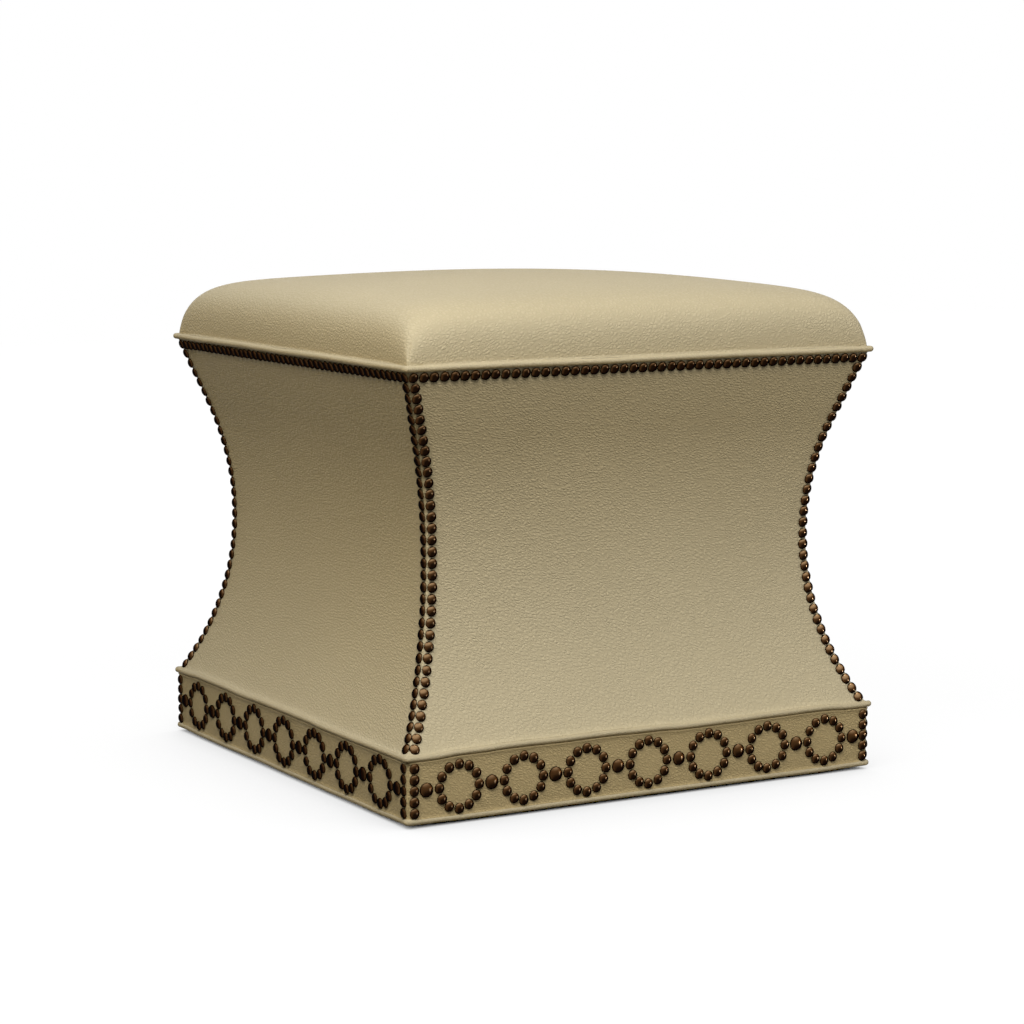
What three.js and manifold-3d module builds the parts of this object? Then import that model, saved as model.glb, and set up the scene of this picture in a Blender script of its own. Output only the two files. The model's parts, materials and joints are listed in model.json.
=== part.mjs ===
// Upholstered footstool: a square body with hollow-curved sides on a low plinth, under a fixed
// crowned cushion, trimmed with welts and rows, columns and rings of domed nails.
// Millimetres, +Z up, origin on the floor under the middle. The front looks along -Y.

import * as THREE from "three";
import { mergeVertices } from "three/addons/utils/BufferGeometryUtils.js";
import Module from "manifold-3d";

const wasm = await Module();
wasm.setup();

const sideNames = ["front", "right", "back", "left"];
const cornerNames = ["front_right", "back_right", "back_left", "front_left"];
const quarterTurn = Math.PI / 2;
const fullTurn = 2 * Math.PI;

// Overall sizes
const plinthHalf = 267; // middle to the leather face of the plinth
const waistHalf = 221.6; // middle to the leather face at the waist
const footProud = 1.3; // how far the foot of the body stands out past the plinth
const standOff = 3; // floor to the underside of the low welt
const plinthHeight = 61.2; // low welt to step welt, centre to centre
const bodyHeight = 366.8; // step welt to top welt, centre to centre
const waistRise = 178; // step welt up to the waist
const flareRise = 297; // step welt up to where the curve runs out straight

// Layers of the sides, and the clearance between pieces that touch
const touch = 0.3;
const leather = 1.3;
const paddingThickness = 9;
const panelThickness = 5;
const sideSteps = 11; // flat strips that follow the curve of a side

// Welts: a round bead with a flat flange that lies between the pieces it joins
const weltDiameter = 6;
const flangeThickness = 1.2;
const beadSteps = 5; // half the number of flats round a bead

// Cushion
const cushionHeight = 74.4; // top welt centre to the crown
const cushionInset = 1.7; // its side stands this far inside the top welt centre
const domeRise = 14; // crown above the shoulders
const sideTuck = 6.1; // the side's curve runs on this far below the top welt centre
const sideSquareness = 12.1; // powers of the side's curve: square in plan, round at the shoulder
const shoulderRoundness = 3.74;
const cushionSteps = 12; // strips across the cushion, crowded towards its edges
const edgeCrowding = 2.2;
const wrapThickness = 8;

// Frame
const deckThickness = 12;
const postShare = 0.25; // the posts' inner faces are set out from this share of the way
const postWidth = 46.35; // from the waist's reach to the plinth's: a post's width there
const railThickness = 20;
const topRailHeight = 45;
const baseRailHeight = 38;
const tenonLength = 25;
const tenonThickness = 8;
const tenonShoulder = 8; // wood left above and below a tenon
const ribThickness = 18;
const ribWaist = 25; // depth of a side rib at the waist
const boardThickness = 20;

// Fastenings and underside
const screwHeadDiameter = 10;
const screwHeadDepth = 3;
const screwDiameter = 5;
const screwLength = 50;
const screwSides = 10;
const dustThickness = 0.8;
const dustInset = 5; // edge of the dust cover to the low welt
const glideDiameter = 28;
const glideEdge = 1.4; // chamfer round the foot of a glide
const pinDiameter = 4;
const pinLength = 14;
const glideSides = 12;

// Decorative nails
const nailDiameter = 10.4;
const nailRise = 2.6;
const largeNailDiameter = 14.2;
const largeNailRise = 3.4;
const neckWidthShare = 0.5; // of a small head: the heads of a strip are joined by low necks
const neckRise = 0.8;
const smallCorners = 2; // rim corners of a head beside those of its necks
const largeCorners = 4;
const rowGap = 0.35; // least gap between heads in a row
const cornerGap = 0.9; // the same in the long columns at the corners
const cornerMargin = 0.55; // rim of a corner head to the corner
const edgeMargin = 0.1; // rim of a head to the edge of its leather
const ringMargin = 0.6; // ring of heads to the low welt
const ringDrop = 0.2; // ring centre below the middle of the plinth
const ringGap = 1.2; // least gap between a ring and a large head
const endGap = 0.4; // last large head to the end column

// Heights, from the floor up
const weltRadius = weltDiameter / 2;
const lowWeltHeight = standOff + weltRadius;
const stepHeight = lowWeltHeight + plinthHeight;
const topWeltHeight = stepHeight + bodyHeight;
const waistHeight = stepHeight + waistRise;
const flareHeight = stepHeight + flareRise;
const flangeHalf = flangeThickness / 2;
const deckTop = topWeltHeight + flangeHalf;
const deckBottom = deckTop - deckThickness;
const frameTop = deckBottom - touch;
const cushionFloor = deckTop + touch;
const plinthFoot = lowWeltHeight + weltRadius + touch;
const plinthTop = stepHeight - weltRadius - touch;
const bodyFloor = plinthTop + flangeThickness + 2 * touch;
const bodyCeiling = topWeltHeight - flangeHalf - touch;
const coverFoot = stepHeight + weltRadius + touch;
const coverTop = topWeltHeight - weltRadius - touch;
const cushionHem = topWeltHeight + weltRadius + touch;
const dustTop = plinthFoot - flangeThickness - 2 * touch;
const postFoot = dustTop + touch;
const glideTop = dustTop - dustThickness - touch;

// The curve of a side: an arc whose centre lies outside, then a straight flare up to the top welt
const footHalf = plinthHalf + footProud;
const footSpread = footHalf - waistHalf;
const arcRadius = (footSpread ** 2 + waistRise ** 2) / (2 * footSpread);
const arcCentre = waistHalf + arcRadius;
const flareSine = (flareHeight - waistHeight) / arcRadius;
const flareSlope = flareSine / Math.sqrt(1 - flareSine ** 2);

// Depths of the layers below the leather face of a side
const paddingDepth = leather + touch;
const panelDepth = paddingDepth + paddingThickness + touch;
const frameDepth = panelDepth + panelThickness + touch;

// Reaches: distances from the middle out to a face
const boardReach = plinthHalf - leather - touch;
const footReach = boardReach - boardThickness - touch;
const postInner = waistHalf + postShare * (plinthHalf - waistHalf) - frameDepth - postWidth;
const topReach = sideReach(topWeltHeight, 0);
const cushionHalf = topReach - cushionInset;

// Half-width of the body at a height, out to a surface that lies some depth under the leather face
function sideReach(height, depth) {
  const radius = arcRadius + depth;
  const flareStart = waistHeight + radius * flareSine;
  const rise = Math.min(height, flareStart) - waistHeight;
  const flare = Math.max(height - flareStart, 0) * flareSlope;
  return arcCentre - Math.sqrt(radius ** 2 - rise ** 2) + flare;
}

// Heights at which a piece of the side bends, the same for every layer between its two ends
function sideLevels(low, high) {
  const levels = [low];
  for (let step = 1; step < sideSteps; step += 1) {
    const height = THREE.MathUtils.lerp(stepHeight, topWeltHeight, step / sideSteps);
    if (height > low && height < high) levels.push(height);
  }
  return [...levels, high];
}

// Box whose grid points are moved by place(), which takes each of their shares from -1 to 1
function shapedBox(alongSteps, depthSteps, heightSteps, place) {
  const box = new THREE.BoxGeometry(2, 2, 2, alongSteps, depthSteps, heightSteps);
  const points = box.getAttribute("position");
  for (let i = 0; i < points.count; i += 1) {
    const point = place(points.getX(i), points.getY(i), points.getZ(i));
    points.setXYZ(i, point.x, point.y, point.z);
  }
  return box;
}

// Upright board or sheet at the front whose two ends are mitred to meet the next side's
function mitredPanel(levels, outerReach, innerReach) {
  const steps = levels.length - 1;
  const mitreGap = touch / Math.SQRT2;
  return shapedBox(1, 1, steps, (along, depth, rise) => {
    const height = levels[Math.round(((rise + 1) / 2) * steps)];
    const reach = depth < 0 ? outerReach(height) : innerReach(height);
    return new THREE.Vector3(along * (reach - mitreGap), -reach, height);
  });
}

// One layer of a curved side, between two depths under the leather face
function sideLayer(low, high, outerDepth, innerDepth) {
  return mitredPanel(
    sideLevels(low, high),
    (height) => sideReach(height, outerDepth),
    (height) => sideReach(height, innerDepth),
  );
}

// One layer of a straight plinth side
function plinthLayer(low, high, outerReach, thickness) {
  return mitredPanel(
    [low, high],
    () => outerReach,
    () => outerReach - thickness,
  );
}

// Plain box between two corners
function boxBetween(low, high) {
  const size = high.clone().sub(low);
  const middle = low.clone().add(high).divideScalar(2);
  return new THREE.BoxGeometry(size.x, size.y, size.z).translate(middle.x, middle.y, middle.z);
}

// Closed geometry to a solid that can be cut and joined
function toSolid(geometry) {
  const bare = geometry.clone();
  bare.deleteAttribute("normal");
  bare.deleteAttribute("uv");
  const merged = mergeVertices(bare);
  const vertProperties = new Float32Array(merged.getAttribute("position").array);
  const triVerts = new Uint32Array(merged.index.array);
  return new wasm.Manifold(new wasm.Mesh({ numProp: 3, vertProperties, triVerts }));
}

// Solid back to a geometry
function toGeometry(solid) {
  const { vertProperties, triVerts } = solid.getMesh();
  const geometry = new THREE.BufferGeometry();
  geometry.setAttribute("position", new THREE.BufferAttribute(vertProperties, 3));
  geometry.setIndex(new THREE.BufferAttribute(triVerts, 1));
  geometry.computeVertexNormals();
  return geometry;
}

function cutFrom(geometry, cutters) {
  return toGeometry(cutters.reduce((solid, cutter) => solid.subtract(toSolid(cutter)), toSolid(geometry)));
}

function joined(geometries) {
  return toGeometry(geometries.map(toSolid).reduce((whole, solid) => whole.add(solid)));
}

// Round piece about an upright axis, from a closed profile of [radius, height] pairs
function turned(profile, sides) {
  const points = profile.map(([radius, height]) => new THREE.Vector2(radius, height));
  return new THREE.LatheGeometry(points, sides).rotateX(Math.PI / 2);
}

// Welt that runs once round the stool: a ring turned with four flats, its corners on the diagonals.
// Its flange lies at a lift above the bead's centre.
function weltRing(reach, height, flangeReach, lift) {
  const underside = lift - flangeHalf;
  const topside = lift + flangeHalf;
  const start = -Math.PI - Math.asin(underside / weltRadius);
  const end = Math.PI - Math.asin(topside / weltRadius);
  const profile = new THREE.Path();
  profile.moveTo(flangeReach, height + underside);
  profile.absarc(reach, height, weltRadius, start, end, false);
  profile.lineTo(flangeReach, height + topside);
  profile.closePath();
  const points = profile.getPoints(beadSteps);
  const corners = points.map((point) => new THREE.Vector2(point.x * Math.SQRT2, point.y));
  return new THREE.LatheGeometry(corners, 4, Math.PI / 4).rotateX(Math.PI / 2);
}

// Height of the cushion's face, lowered and drawn in by an inset, at shares of its half-width
function cushionRise(across, along, inset) {
  const shoulder = (share) =>
    Math.max(1 - Math.abs(share) ** sideSquareness, 0) ** (1 / shoulderRoundness);
  const base = topWeltHeight - sideTuck - inset;
  const shoulderRise = cushionHeight + sideTuck - domeRise;
  const dome = domeRise * (1 - across ** 2) * (1 - along ** 2);
  return base + shoulderRise * shoulder(across) * shoulder(along) + dome;
}

// Closed body between two faces drawn on one square grid of shares, crowded towards the edges
function cushionBody(upperFace, underFace) {
  const last = cushionSteps;
  const shares = Array.from({ length: last + 1 }, (_, i) => {
    const share = (2 * i) / last - 1;
    return Math.sign(share) * (1 - (1 - Math.abs(share)) ** edgeCrowding);
  });
  const points = [upperFace, underFace].flatMap((face) => {
    return shares.flatMap((along) => shares.map((across) => face(across, along)));
  });
  const under = shares.length ** 2;
  const at = (i, j) => j * shares.length + i;
  const triangles = [];
  for (let j = 0; j < last; j += 1) {
    for (let i = 0; i < last; i += 1) {
      const [a, b, c, d] = [at(i, j), at(i + 1, j), at(i + 1, j + 1), at(i, j + 1)];
      const runsOut = i < last / 2 === j < last / 2; // a diagonal from a to c points outwards
      const halves = runsOut ? [[a, b, c], [a, c, d]] : [[a, b, d], [b, c, d]];
      for (const [p, q, r] of halves) {
        triangles.push(p, q, r, under + p, under + r, under + q);
      }
    }
  }
  const rim = [];
  for (let i = 0; i < last; i += 1) rim.push(at(i, 0));
  for (let i = 0; i < last; i += 1) rim.push(at(last, i));
  for (let i = last; i > 0; i -= 1) rim.push(at(i, last));
  for (let i = last; i > 0; i -= 1) rim.push(at(0, i));
  rim.forEach((p, i) => {
    const q = rim[(i + 1) % rim.length];
    triangles.push(under + p, under + q, q, under + p, q, p);
  });
  const geometry = new THREE.BufferGeometry().setFromPoints(points);
  geometry.setIndex(triangles);
  geometry.computeVertexNormals();
  return geometry;
}

// Face of the cushion at an inset, cut off level at a rim
function cushionFace(inset, rimHeight) {
  const half = cushionHalf - inset;
  return (across, along) => {
    const height = Math.max(cushionRise(across, along, inset), rimHeight);
    return new THREE.Vector3(across * half, along * half, height);
  };
}

// Cover or wrap: hollow underneath
function cushionShell(inset, thickness, rimHeight) {
  return cushionBody(cushionFace(inset, rimHeight), cushionFace(inset + thickness, rimHeight));
}

// Foam: flat underneath
function cushionBlock(inset, rimHeight) {
  const half = cushionHalf - inset;
  return cushionBody(cushionFace(inset, rimHeight), (across, along) => {
    return new THREE.Vector3(across * half, along * half, rimHeight);
  });
}

// Rails between the posts: the outer face clears the curved layers over the rail's whole height
function railPlace(low, high) {
  const outer = Math.min(sideReach(low, frameDepth), sideReach(high, frameDepth));
  return { low, high, outer, middle: outer - railThickness / 2 };
}

const topRail = railPlace(frameTop - topRailHeight, frameTop);
const baseRail = railPlace(bodyFloor, bodyFloor + baseRailHeight);

// Tongue of a rail from its end into a post, or with growth the mortise that takes it
function tenonBox(rail, growth) {
  const halfThickness = tenonThickness / 2 + growth;
  const end = postInner + tenonLength + growth;
  const low = rail.low + tenonShoulder - growth;
  const high = rail.high - tenonShoulder + growth;
  return {
    low: new THREE.Vector3(postInner - touch, -rail.middle - halfThickness, low),
    high: new THREE.Vector3(end, -rail.middle + halfThickness, high),
  };
}

function railGeometry(rail) {
  const end = postInner - touch;
  const bar = boxBetween(
    new THREE.Vector3(-end, -rail.outer, rail.low),
    new THREE.Vector3(end, railThickness - rail.outer, rail.high),
  );
  const tenon = tenonBox(rail, 0);
  const farEnd = new THREE.Vector3(-tenon.high.x, tenon.low.y, tenon.low.z);
  return joined([bar, boxBetween(farEnd, tenon.high)]);
}

// The same box on the other wall of the front right corner: mirrored in the corner's diagonal
function acrossCorner({ low, high }) {
  return {
    low: new THREE.Vector3(-high.y, -high.x, low.z),
    high: new THREE.Vector3(-low.y, -low.x, high.z),
  };
}

function mortises(rail) {
  const mortise = tenonBox(rail, touch);
  const mirrored = acrossCorner(mortise);
  return [boxBetween(mortise.low, mortise.high), boxBetween(mirrored.low, mirrored.high)];
}

// Places of the screw and the glide on the diagonal of the front right post
const screwReach = (postInner + sideReach(frameTop, frameDepth)) / 2;
const glideReach = (postInner + footReach) / 2;

// Countersunk screw from the deck into a post
function screwGeometry() {
  const profile = [
    [0, deckTop - screwLength],
    [screwDiameter / 2, deckTop - screwLength],
    [screwDiameter / 2, deckTop - screwHeadDepth],
    [screwHeadDiameter / 2, deckTop - touch],
    [0, deckTop - touch],
  ];
  return turned(profile, screwSides);
}

// Hole that clears the screw, in the deck and in a post
function screwHole() {
  const shank = screwDiameter / 2 + touch;
  const head = screwHeadDiameter / 2 + touch;
  const profile = [
    [0, deckTop - screwLength - touch],
    [shank, deckTop - screwLength - touch],
    [shank, deckTop - screwHeadDepth],
    [head, deckTop - touch],
    [head, deckTop + touch],
    [0, deckTop + touch],
  ];
  return turned(profile, screwSides);
}

function glideGeometry() {
  const radius = glideDiameter / 2;
  const profile = [
    [0, 0],
    [radius - glideEdge, 0],
    [radius, glideEdge],
    [radius, glideTop],
    [pinDiameter / 2, glideTop],
    [pinDiameter / 2, glideTop + pinLength],
    [0, glideTop + pinLength],
  ];
  return turned(profile, glideSides);
}

// Hole for a glide's pin, from below the dust cover up into the post
function pinHole() {
  const radius = pinDiameter / 2 + touch;
  const profile = [
    [0, glideTop],
    [radius, glideTop],
    [radius, glideTop + pinLength + touch],
    [0, glideTop + pinLength + touch],
  ];
  return turned(profile, glideSides);
}

function onDiagonal(geometry, reach) {
  return geometry.translate(reach, -reach, 0);
}

// Post at the front right corner: a square foot inside the plinth, then two hollow-curved faces
function postGeometry() {
  const foot = [postFoot, bodyFloor].map((height) => ({ height, reach: footReach }));
  const body = sideLevels(bodyFloor, frameTop).map((height) => {
    return { height, reach: sideReach(height, frameDepth) };
  });
  const levels = [...foot, ...body];
  const steps = levels.length - 1;
  const blank = shapedBox(1, 1, steps, (x, y, rise) => {
    const { height, reach } = levels[Math.round(((rise + 1) / 2) * steps)];
    return new THREE.Vector3(x < 0 ? postInner : reach, y < 0 ? -reach : -postInner, height);
  });
  const holes = [onDiagonal(screwHole(), screwReach), onDiagonal(pinHole(), glideReach)];
  return cutFrom(blank, [...mortises(topRail), ...mortises(baseRail), ...holes]);
}

// Rib in the middle of the front, standing between the rails, hollow-curved on its outer face
function ribGeometry() {
  const levels = sideLevels(baseRail.high + touch, topRail.low - touch);
  const steps = levels.length - 1;
  const inner = waistHalf - frameDepth - ribWaist;
  return shapedBox(1, 1, steps, (x, y, rise) => {
    const height = levels[Math.round(((rise + 1) / 2) * steps)];
    const reach = y < 0 ? sideReach(height, frameDepth) : inner;
    return new THREE.Vector3((x * ribThickness) / 2, -reach, height);
  });
}

// Flat square sheet or board with the same hole near each corner
function drilledSquare(half, low, high, hole, holeReach) {
  const sheet = boxBetween(
    new THREE.Vector3(-half, -half, low),
    new THREE.Vector3(half, half, high),
  );
  const placed = onDiagonal(hole, holeReach);
  const holes = sideNames.map((_, turn) => placed.clone().rotateZ(turn * quarterTurn));
  return cutFrom(sheet, holes);
}

// The leather face of a side as a line of flat strips, and the same line along its corner
const faceLine = sideLevels(coverFoot, coverTop).map((height) => {
  return new THREE.Vector2(sideReach(height, 0), height);
});
const cornerLine = faceLine.map(({ x, y }) => new THREE.Vector2(x * Math.SQRT2, y));
const facePath = new THREE.Path(faceLine);
const cornerPath = new THREE.Path(cornerLine);

// Distance along a rising line at which it reaches a height
function distanceUp(line, height) {
  let distance = 0;
  for (let i = 1; i < line.length; i += 1) {
    const low = line[i - 1];
    const high = line[i];
    const share = THREE.MathUtils.clamp((height - low.y) / (high.y - low.y), 0, 1);
    distance += share * low.distanceTo(high);
  }
  return distance;
}

function pointUp(path, distance) {
  return path.getPoint(distance / path.getLength());
}

// Place on the front of the body: across, up along the leather, and out from it
function onBody(across, up, out) {
  const foot = pointUp(facePath, up);
  const slope = facePath.getTangent(up / facePath.getLength());
  return new THREE.Vector3(across, -(foot.x + slope.y * out), foot.y - slope.x * out);
}

// The same on the flat front of the plinth, where up is the height
function onPlinth(across, up, out) {
  return new THREE.Vector3(across, -(plinthHalf + out), up);
}

// The rim of a head, counterclockwise: over the tops of its necks, and along their undersides
function rimOf(head, necks, corner) {
  const turnOf = ({ angle }) => THREE.MathUtils.euclideanModulo(angle, fullTurn);
  const sorted = [...necks].sort((a, b) => turnOf(a) - turnOf(b));
  const upper = [];
  const lower = [];
  sorted.forEach((neck, i) => {
    const next = sorted[(i + 1) % sorted.length];
    const open = THREE.MathUtils.euclideanModulo(turnOf(next) - turnOf(neck), fullTurn) || fullTurn;
    const count = Math.round((open / fullTurn) * head.corners);
    upper.push(neck.ends[0], neck.top, neck.ends[1]);
    lower.push(...neck.ends);
    for (let k = 1; k <= count; k += 1) {
      const angle = turnOf(neck) + (open * k) / (count + 1);
      const x = head.x + Math.cos(angle) * head.radius;
      const y = head.y + Math.sin(angle) * head.radius;
      const point = corner(x, y, touch);
      upper.push(point);
      lower.push(point);
    }
  });
  return { upper, lower };
}

// Neck midway between the rims of two heads, as its angle, two ends and top seen from the first
function neckBetween(a, b, corner) {
  const angle = Math.atan2(b.y - a.y, b.x - a.x);
  const gap = Math.hypot(b.x - a.x, b.y - a.y) - a.radius - b.radius;
  const x = a.x + Math.cos(angle) * (a.radius + gap / 2);
  const y = a.y + Math.sin(angle) * (a.radius + gap / 2);
  const sideX = (Math.sin(angle) * nailDiameter * neckWidthShare) / 2;
  const sideY = (Math.cos(angle) * nailDiameter * neckWidthShare) / 2;
  const right = corner(x + sideX, y - sideY, touch);
  const left = corner(x - sideX, y + sideY, touch);
  return { angle, ends: [right, left], top: corner(x, y, touch + neckRise) };
}

// Heads joined by necks into one closed body. Each link names two heads, by number.
function nailStrip(heads, links, place) {
  const corners = [];
  const triangles = [];
  const corner = (x, y, out) => corners.push(place(x, y, out)) - 1;
  const necks = heads.map(() => []);
  for (const [from, to] of links) {
    const neck = neckBetween(heads[from], heads[to], corner);
    necks[from].push(neck);
    necks[to].push({ ...neck, angle: neck.angle + Math.PI, ends: [neck.ends[1], neck.ends[0]] });
  }
  heads.forEach((head, number) => {
    const { upper, lower } = rimOf(head, necks[number], corner);
    const apex = corner(head.x, head.y, touch + head.rise);
    upper.forEach((point, i) => triangles.push(apex, point, upper[(i + 1) % upper.length]));
    for (let i = 2; i < lower.length; i += 1) {
      triangles.push(lower[0], lower[i], lower[i - 1]);
    }
  });
  const geometry = new THREE.BufferGeometry().setFromPoints(corners);
  geometry.setIndex(triangles);
  geometry.computeVertexNormals();
  return geometry;
}

const nailRadius = nailDiameter / 2;
const largeNailRadius = largeNailDiameter / 2;
const cornerInset = nailRadius + cornerMargin;

function smallHead(x, y) {
  return { x, y, radius: nailRadius, rise: nailRise, corners: smallCorners };
}

function largeHead(x, y) {
  return { x, y, radius: largeNailRadius, rise: largeNailRise, corners: largeCorners };
}

// Number of even spaces that fit in a length when heads keep at least a gap
function spacesIn(length, gap) {
  return Math.floor(length / (nailDiameter + gap));
}

// Row under the top welt, and a column down each corner from the row's two ends
function bodyNails() {
  const heads = [];
  const links = [];
  const rowUp = facePath.getLength() - nailRadius - edgeMargin;
  const rowHalf = pointUp(facePath, rowUp).x - cornerInset;
  const rowSpaces = spacesIn(2 * rowHalf, rowGap);
  for (let i = 0; i <= rowSpaces; i += 1) {
    heads.push(smallHead(rowHalf * ((2 * i) / rowSpaces - 1), rowUp));
    if (i > 0) links.push([i - 1, i]);
  }
  const start = distanceUp(cornerLine, pointUp(facePath, rowUp).y);
  const end = distanceUp(cornerLine, pointUp(facePath, nailRadius + edgeMargin).y);
  const columnSpaces = spacesIn(start - end, cornerGap);
  for (const side of [-1, 1]) {
    let last = side < 0 ? 0 : rowSpaces;
    for (let i = 1; i <= columnSpaces; i += 1) {
      const { x, y } = pointUp(cornerPath, THREE.MathUtils.lerp(start, end, i / columnSpaces));
      const across = side * (x / Math.SQRT2 - cornerInset);
      links.push([last, heads.length]);
      last = heads.push(smallHead(across, distanceUp(faceLine, y))) - 1;
    }
  }
  return nailStrip(heads, links, onBody);
}

// Rings with a large head between each two and at both ends, and a short column at each end
function plinthNails() {
  const heads = [];
  const links = [];
  const put = (head) => heads.push(head) - 1;
  const middle = (lowWeltHeight + stepHeight) / 2 - ringDrop;
  const ringRadius = plinthHeight / 2 - weltRadius - ringDrop - ringMargin - nailRadius;
  const ringHeads = 2 * Math.floor(spacesIn(fullTurn * ringRadius, rowGap) / 2);
  const columnReach = plinthHalf - cornerInset;
  const columnSteps = spacesIn(ringRadius, rowGap);
  const lastLarge = columnReach - nailRadius - endGap - largeNailRadius;
  const leastPitch = 2 * (ringRadius + nailRadius + largeNailRadius + ringGap);
  const rings = Math.floor((2 * lastLarge) / leastPitch);
  const pitch = (2 * lastLarge) / rings;

  // A column of heads; gives the number of its middle head
  function column(x) {
    const numbers = [];
    for (let i = -columnSteps; i <= columnSteps; i += 1) {
      numbers.push(put(smallHead(x, middle + (ringRadius * i) / columnSteps)));
      if (numbers.length > 1) links.push(numbers.slice(-2));
    }
    return numbers[columnSteps];
  }

  // A closed ring of heads; gives the numbers of its leftmost and rightmost heads
  function ring(x) {
    const numbers = [];
    for (let i = 0; i < ringHeads; i += 1) {
      const angle = (fullTurn * i) / ringHeads;
      const up = middle + ringRadius * Math.sin(angle);
      numbers.push(put(smallHead(x + ringRadius * Math.cos(angle), up)));
      if (i > 0) links.push(numbers.slice(-2));
    }
    links.push([numbers[ringHeads - 1], numbers[0]]);
    return { left: numbers[ringHeads / 2], right: numbers[0] };
  }

  let last = column(-columnReach);
  for (let i = 0; i <= rings; i += 1) {
    const large = put(largeHead(pitch * i - lastLarge, middle));
    links.push([last, large]);
    last = large;
    if (i < rings) {
      const { left, right } = ring(pitch * (i + 1 / 2) - lastLarge);
      links.push([last, left]);
      last = right;
    }
  }
  links.push([last, column(columnReach)]);
  return nailStrip(heads, links, onPlinth);
}

// Finishes
function finish(color, roughness, metalness) {
  return () => new THREE.MeshStandardMaterial({ color, roughness, metalness });
}

const hide = finish(0xb8a67a, 0.5, 0);
const bronze = finish(0x3a2a1c, 0.35, 0.9);
const hardwood = finish(0xb98d5a, 0.7, 0);
const plywood = finish(0xc9a878, 0.75, 0);
const felt = finish(0xd9d4c6, 0.95, 0);
const foam = finish(0xe6dcae, 0.9, 0);
const fibre = finish(0xf2f1ec, 0.95, 0);
const blackCloth = finish(0x1f1f20, 0.9, 0);
const steel = finish(0x9a9a9c, 0.4, 1);
const nylon = finish(0x2b2a28, 0.5, 0);

function piece(name, geometry, material) {
  const mesh = new THREE.Mesh(geometry, material());
  mesh.name = name;
  return mesh;
}

// Layers of one side, from the leather in to the plywood
const cover = sideLayer(coverFoot, coverTop, 0, leather);
const padding = sideLayer(coverFoot, coverTop, paddingDepth, paddingDepth + paddingThickness);
const panel = sideLayer(bodyFloor, bodyCeiling, panelDepth, panelDepth + panelThickness);

// The plinth stands between the low welt and the step welt
const plinthCover = plinthLayer(plinthFoot, plinthTop, plinthHalf, leather);
const plinthBoard = plinthLayer(plinthFoot, plinthTop, boardReach, boardThickness);

const sidePieces = [
  ["side_cover", cover, hide],
  ["side_padding", padding, felt],
  ["side_panel", panel, plywood],
  ["side_rib", ribGeometry(), hardwood],
  ["top_rail", railGeometry(topRail), hardwood],
  ["base_rail", railGeometry(baseRail), hardwood],
  ["plinth_cover", plinthCover, hide],
  ["plinth_board", plinthBoard, hardwood],
  ["body_nails", bodyNails(), bronze],
  ["plinth_nails", plinthNails(), bronze],
];

const cornerPieces = [
  ["corner_post", postGeometry(), hardwood],
  ["deck_screw", onDiagonal(screwGeometry(), screwReach), steel],
  ["glide", onDiagonal(glideGeometry(), glideReach), nylon],
];

// Each side with the corner at its right-hand end, turned into its place
function quarter(turn) {
  const group = new THREE.Group();
  group.rotation.z = turn * quarterTurn;
  for (const [name, geometry, material] of sidePieces) {
    group.add(piece(`${name}_${sideNames[turn]}`, geometry, material));
  }
  for (const [name, geometry, material] of cornerPieces) {
    group.add(piece(`${name}_${cornerNames[turn]}`, geometry, material));
  }
  return group;
}

// Welts: the flanges lie over the plywood's top edges, over the plinth boards, and under them
const panelInner = panelDepth + panelThickness;
const flangeLift = weltRadius - flangeHalf;
const topFlange = sideReach(topWeltHeight, panelInner);
const stepFlange = sideReach(stepHeight, panelInner);
const lowFlange = boardReach - boardThickness / 2;
const topWelt = weltRing(topReach, topWeltHeight, topFlange, 0);
const stepWelt = weltRing(footHalf, stepHeight, stepFlange, -flangeLift);
const lowWelt = weltRing(plinthHalf, lowWeltHeight, lowFlange, flangeLift);

// Seat deck between the curved panels, on the posts and the top rails
const deckHalf = sideReach(deckBottom, frameDepth);
const seatDeck = drilledSquare(deckHalf, deckBottom, deckTop, screwHole(), screwReach);

// Cushion on the deck, from the leather in to the foam
const wrapInset = leather + touch;
const foamInset = wrapInset + wrapThickness + touch;

// Cloth under the foot, held by the glides
const dustHalf = plinthHalf - weltRadius - dustInset;
const dustCover = drilledSquare(dustHalf, dustTop - dustThickness, dustTop, pinHole(), glideReach);

const stool = new THREE.Group();
sideNames.forEach((_, turn) => stool.add(quarter(turn)));
stool.add(piece("top_cover", cushionShell(0, leather, cushionHem), hide));
stool.add(piece("fibre_wrap", cushionShell(wrapInset, wrapThickness, cushionFloor), fibre));
stool.add(piece("seat_foam", cushionBlock(foamInset, cushionFloor), foam));
stool.add(piece("seat_deck", seatDeck, plywood));
stool.add(piece("top_welt", topWelt, hide));
stool.add(piece("step_welt", stepWelt, hide));
stool.add(piece("low_welt", lowWelt, hide));
stool.add(piece("dust_cover", dustCover, blackCloth));

export default stool;
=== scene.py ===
# %% [markdown]
# # An upholstered footstool, dressed in leather
# The frame of this stool is joinery: posts, rails, ribs, boards and a seat deck. They come in as
# fixed solids and stay where they are. This lesson makes what an upholsterer adds: felt, foam and
# fibre, leather covers, welts, bronze nails and the cloth underneath. Everything is in metres,
# with the origin on the floor under the middle of the stool and the front looking along -Y.

# %% Load the frame
import json
import math

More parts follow.
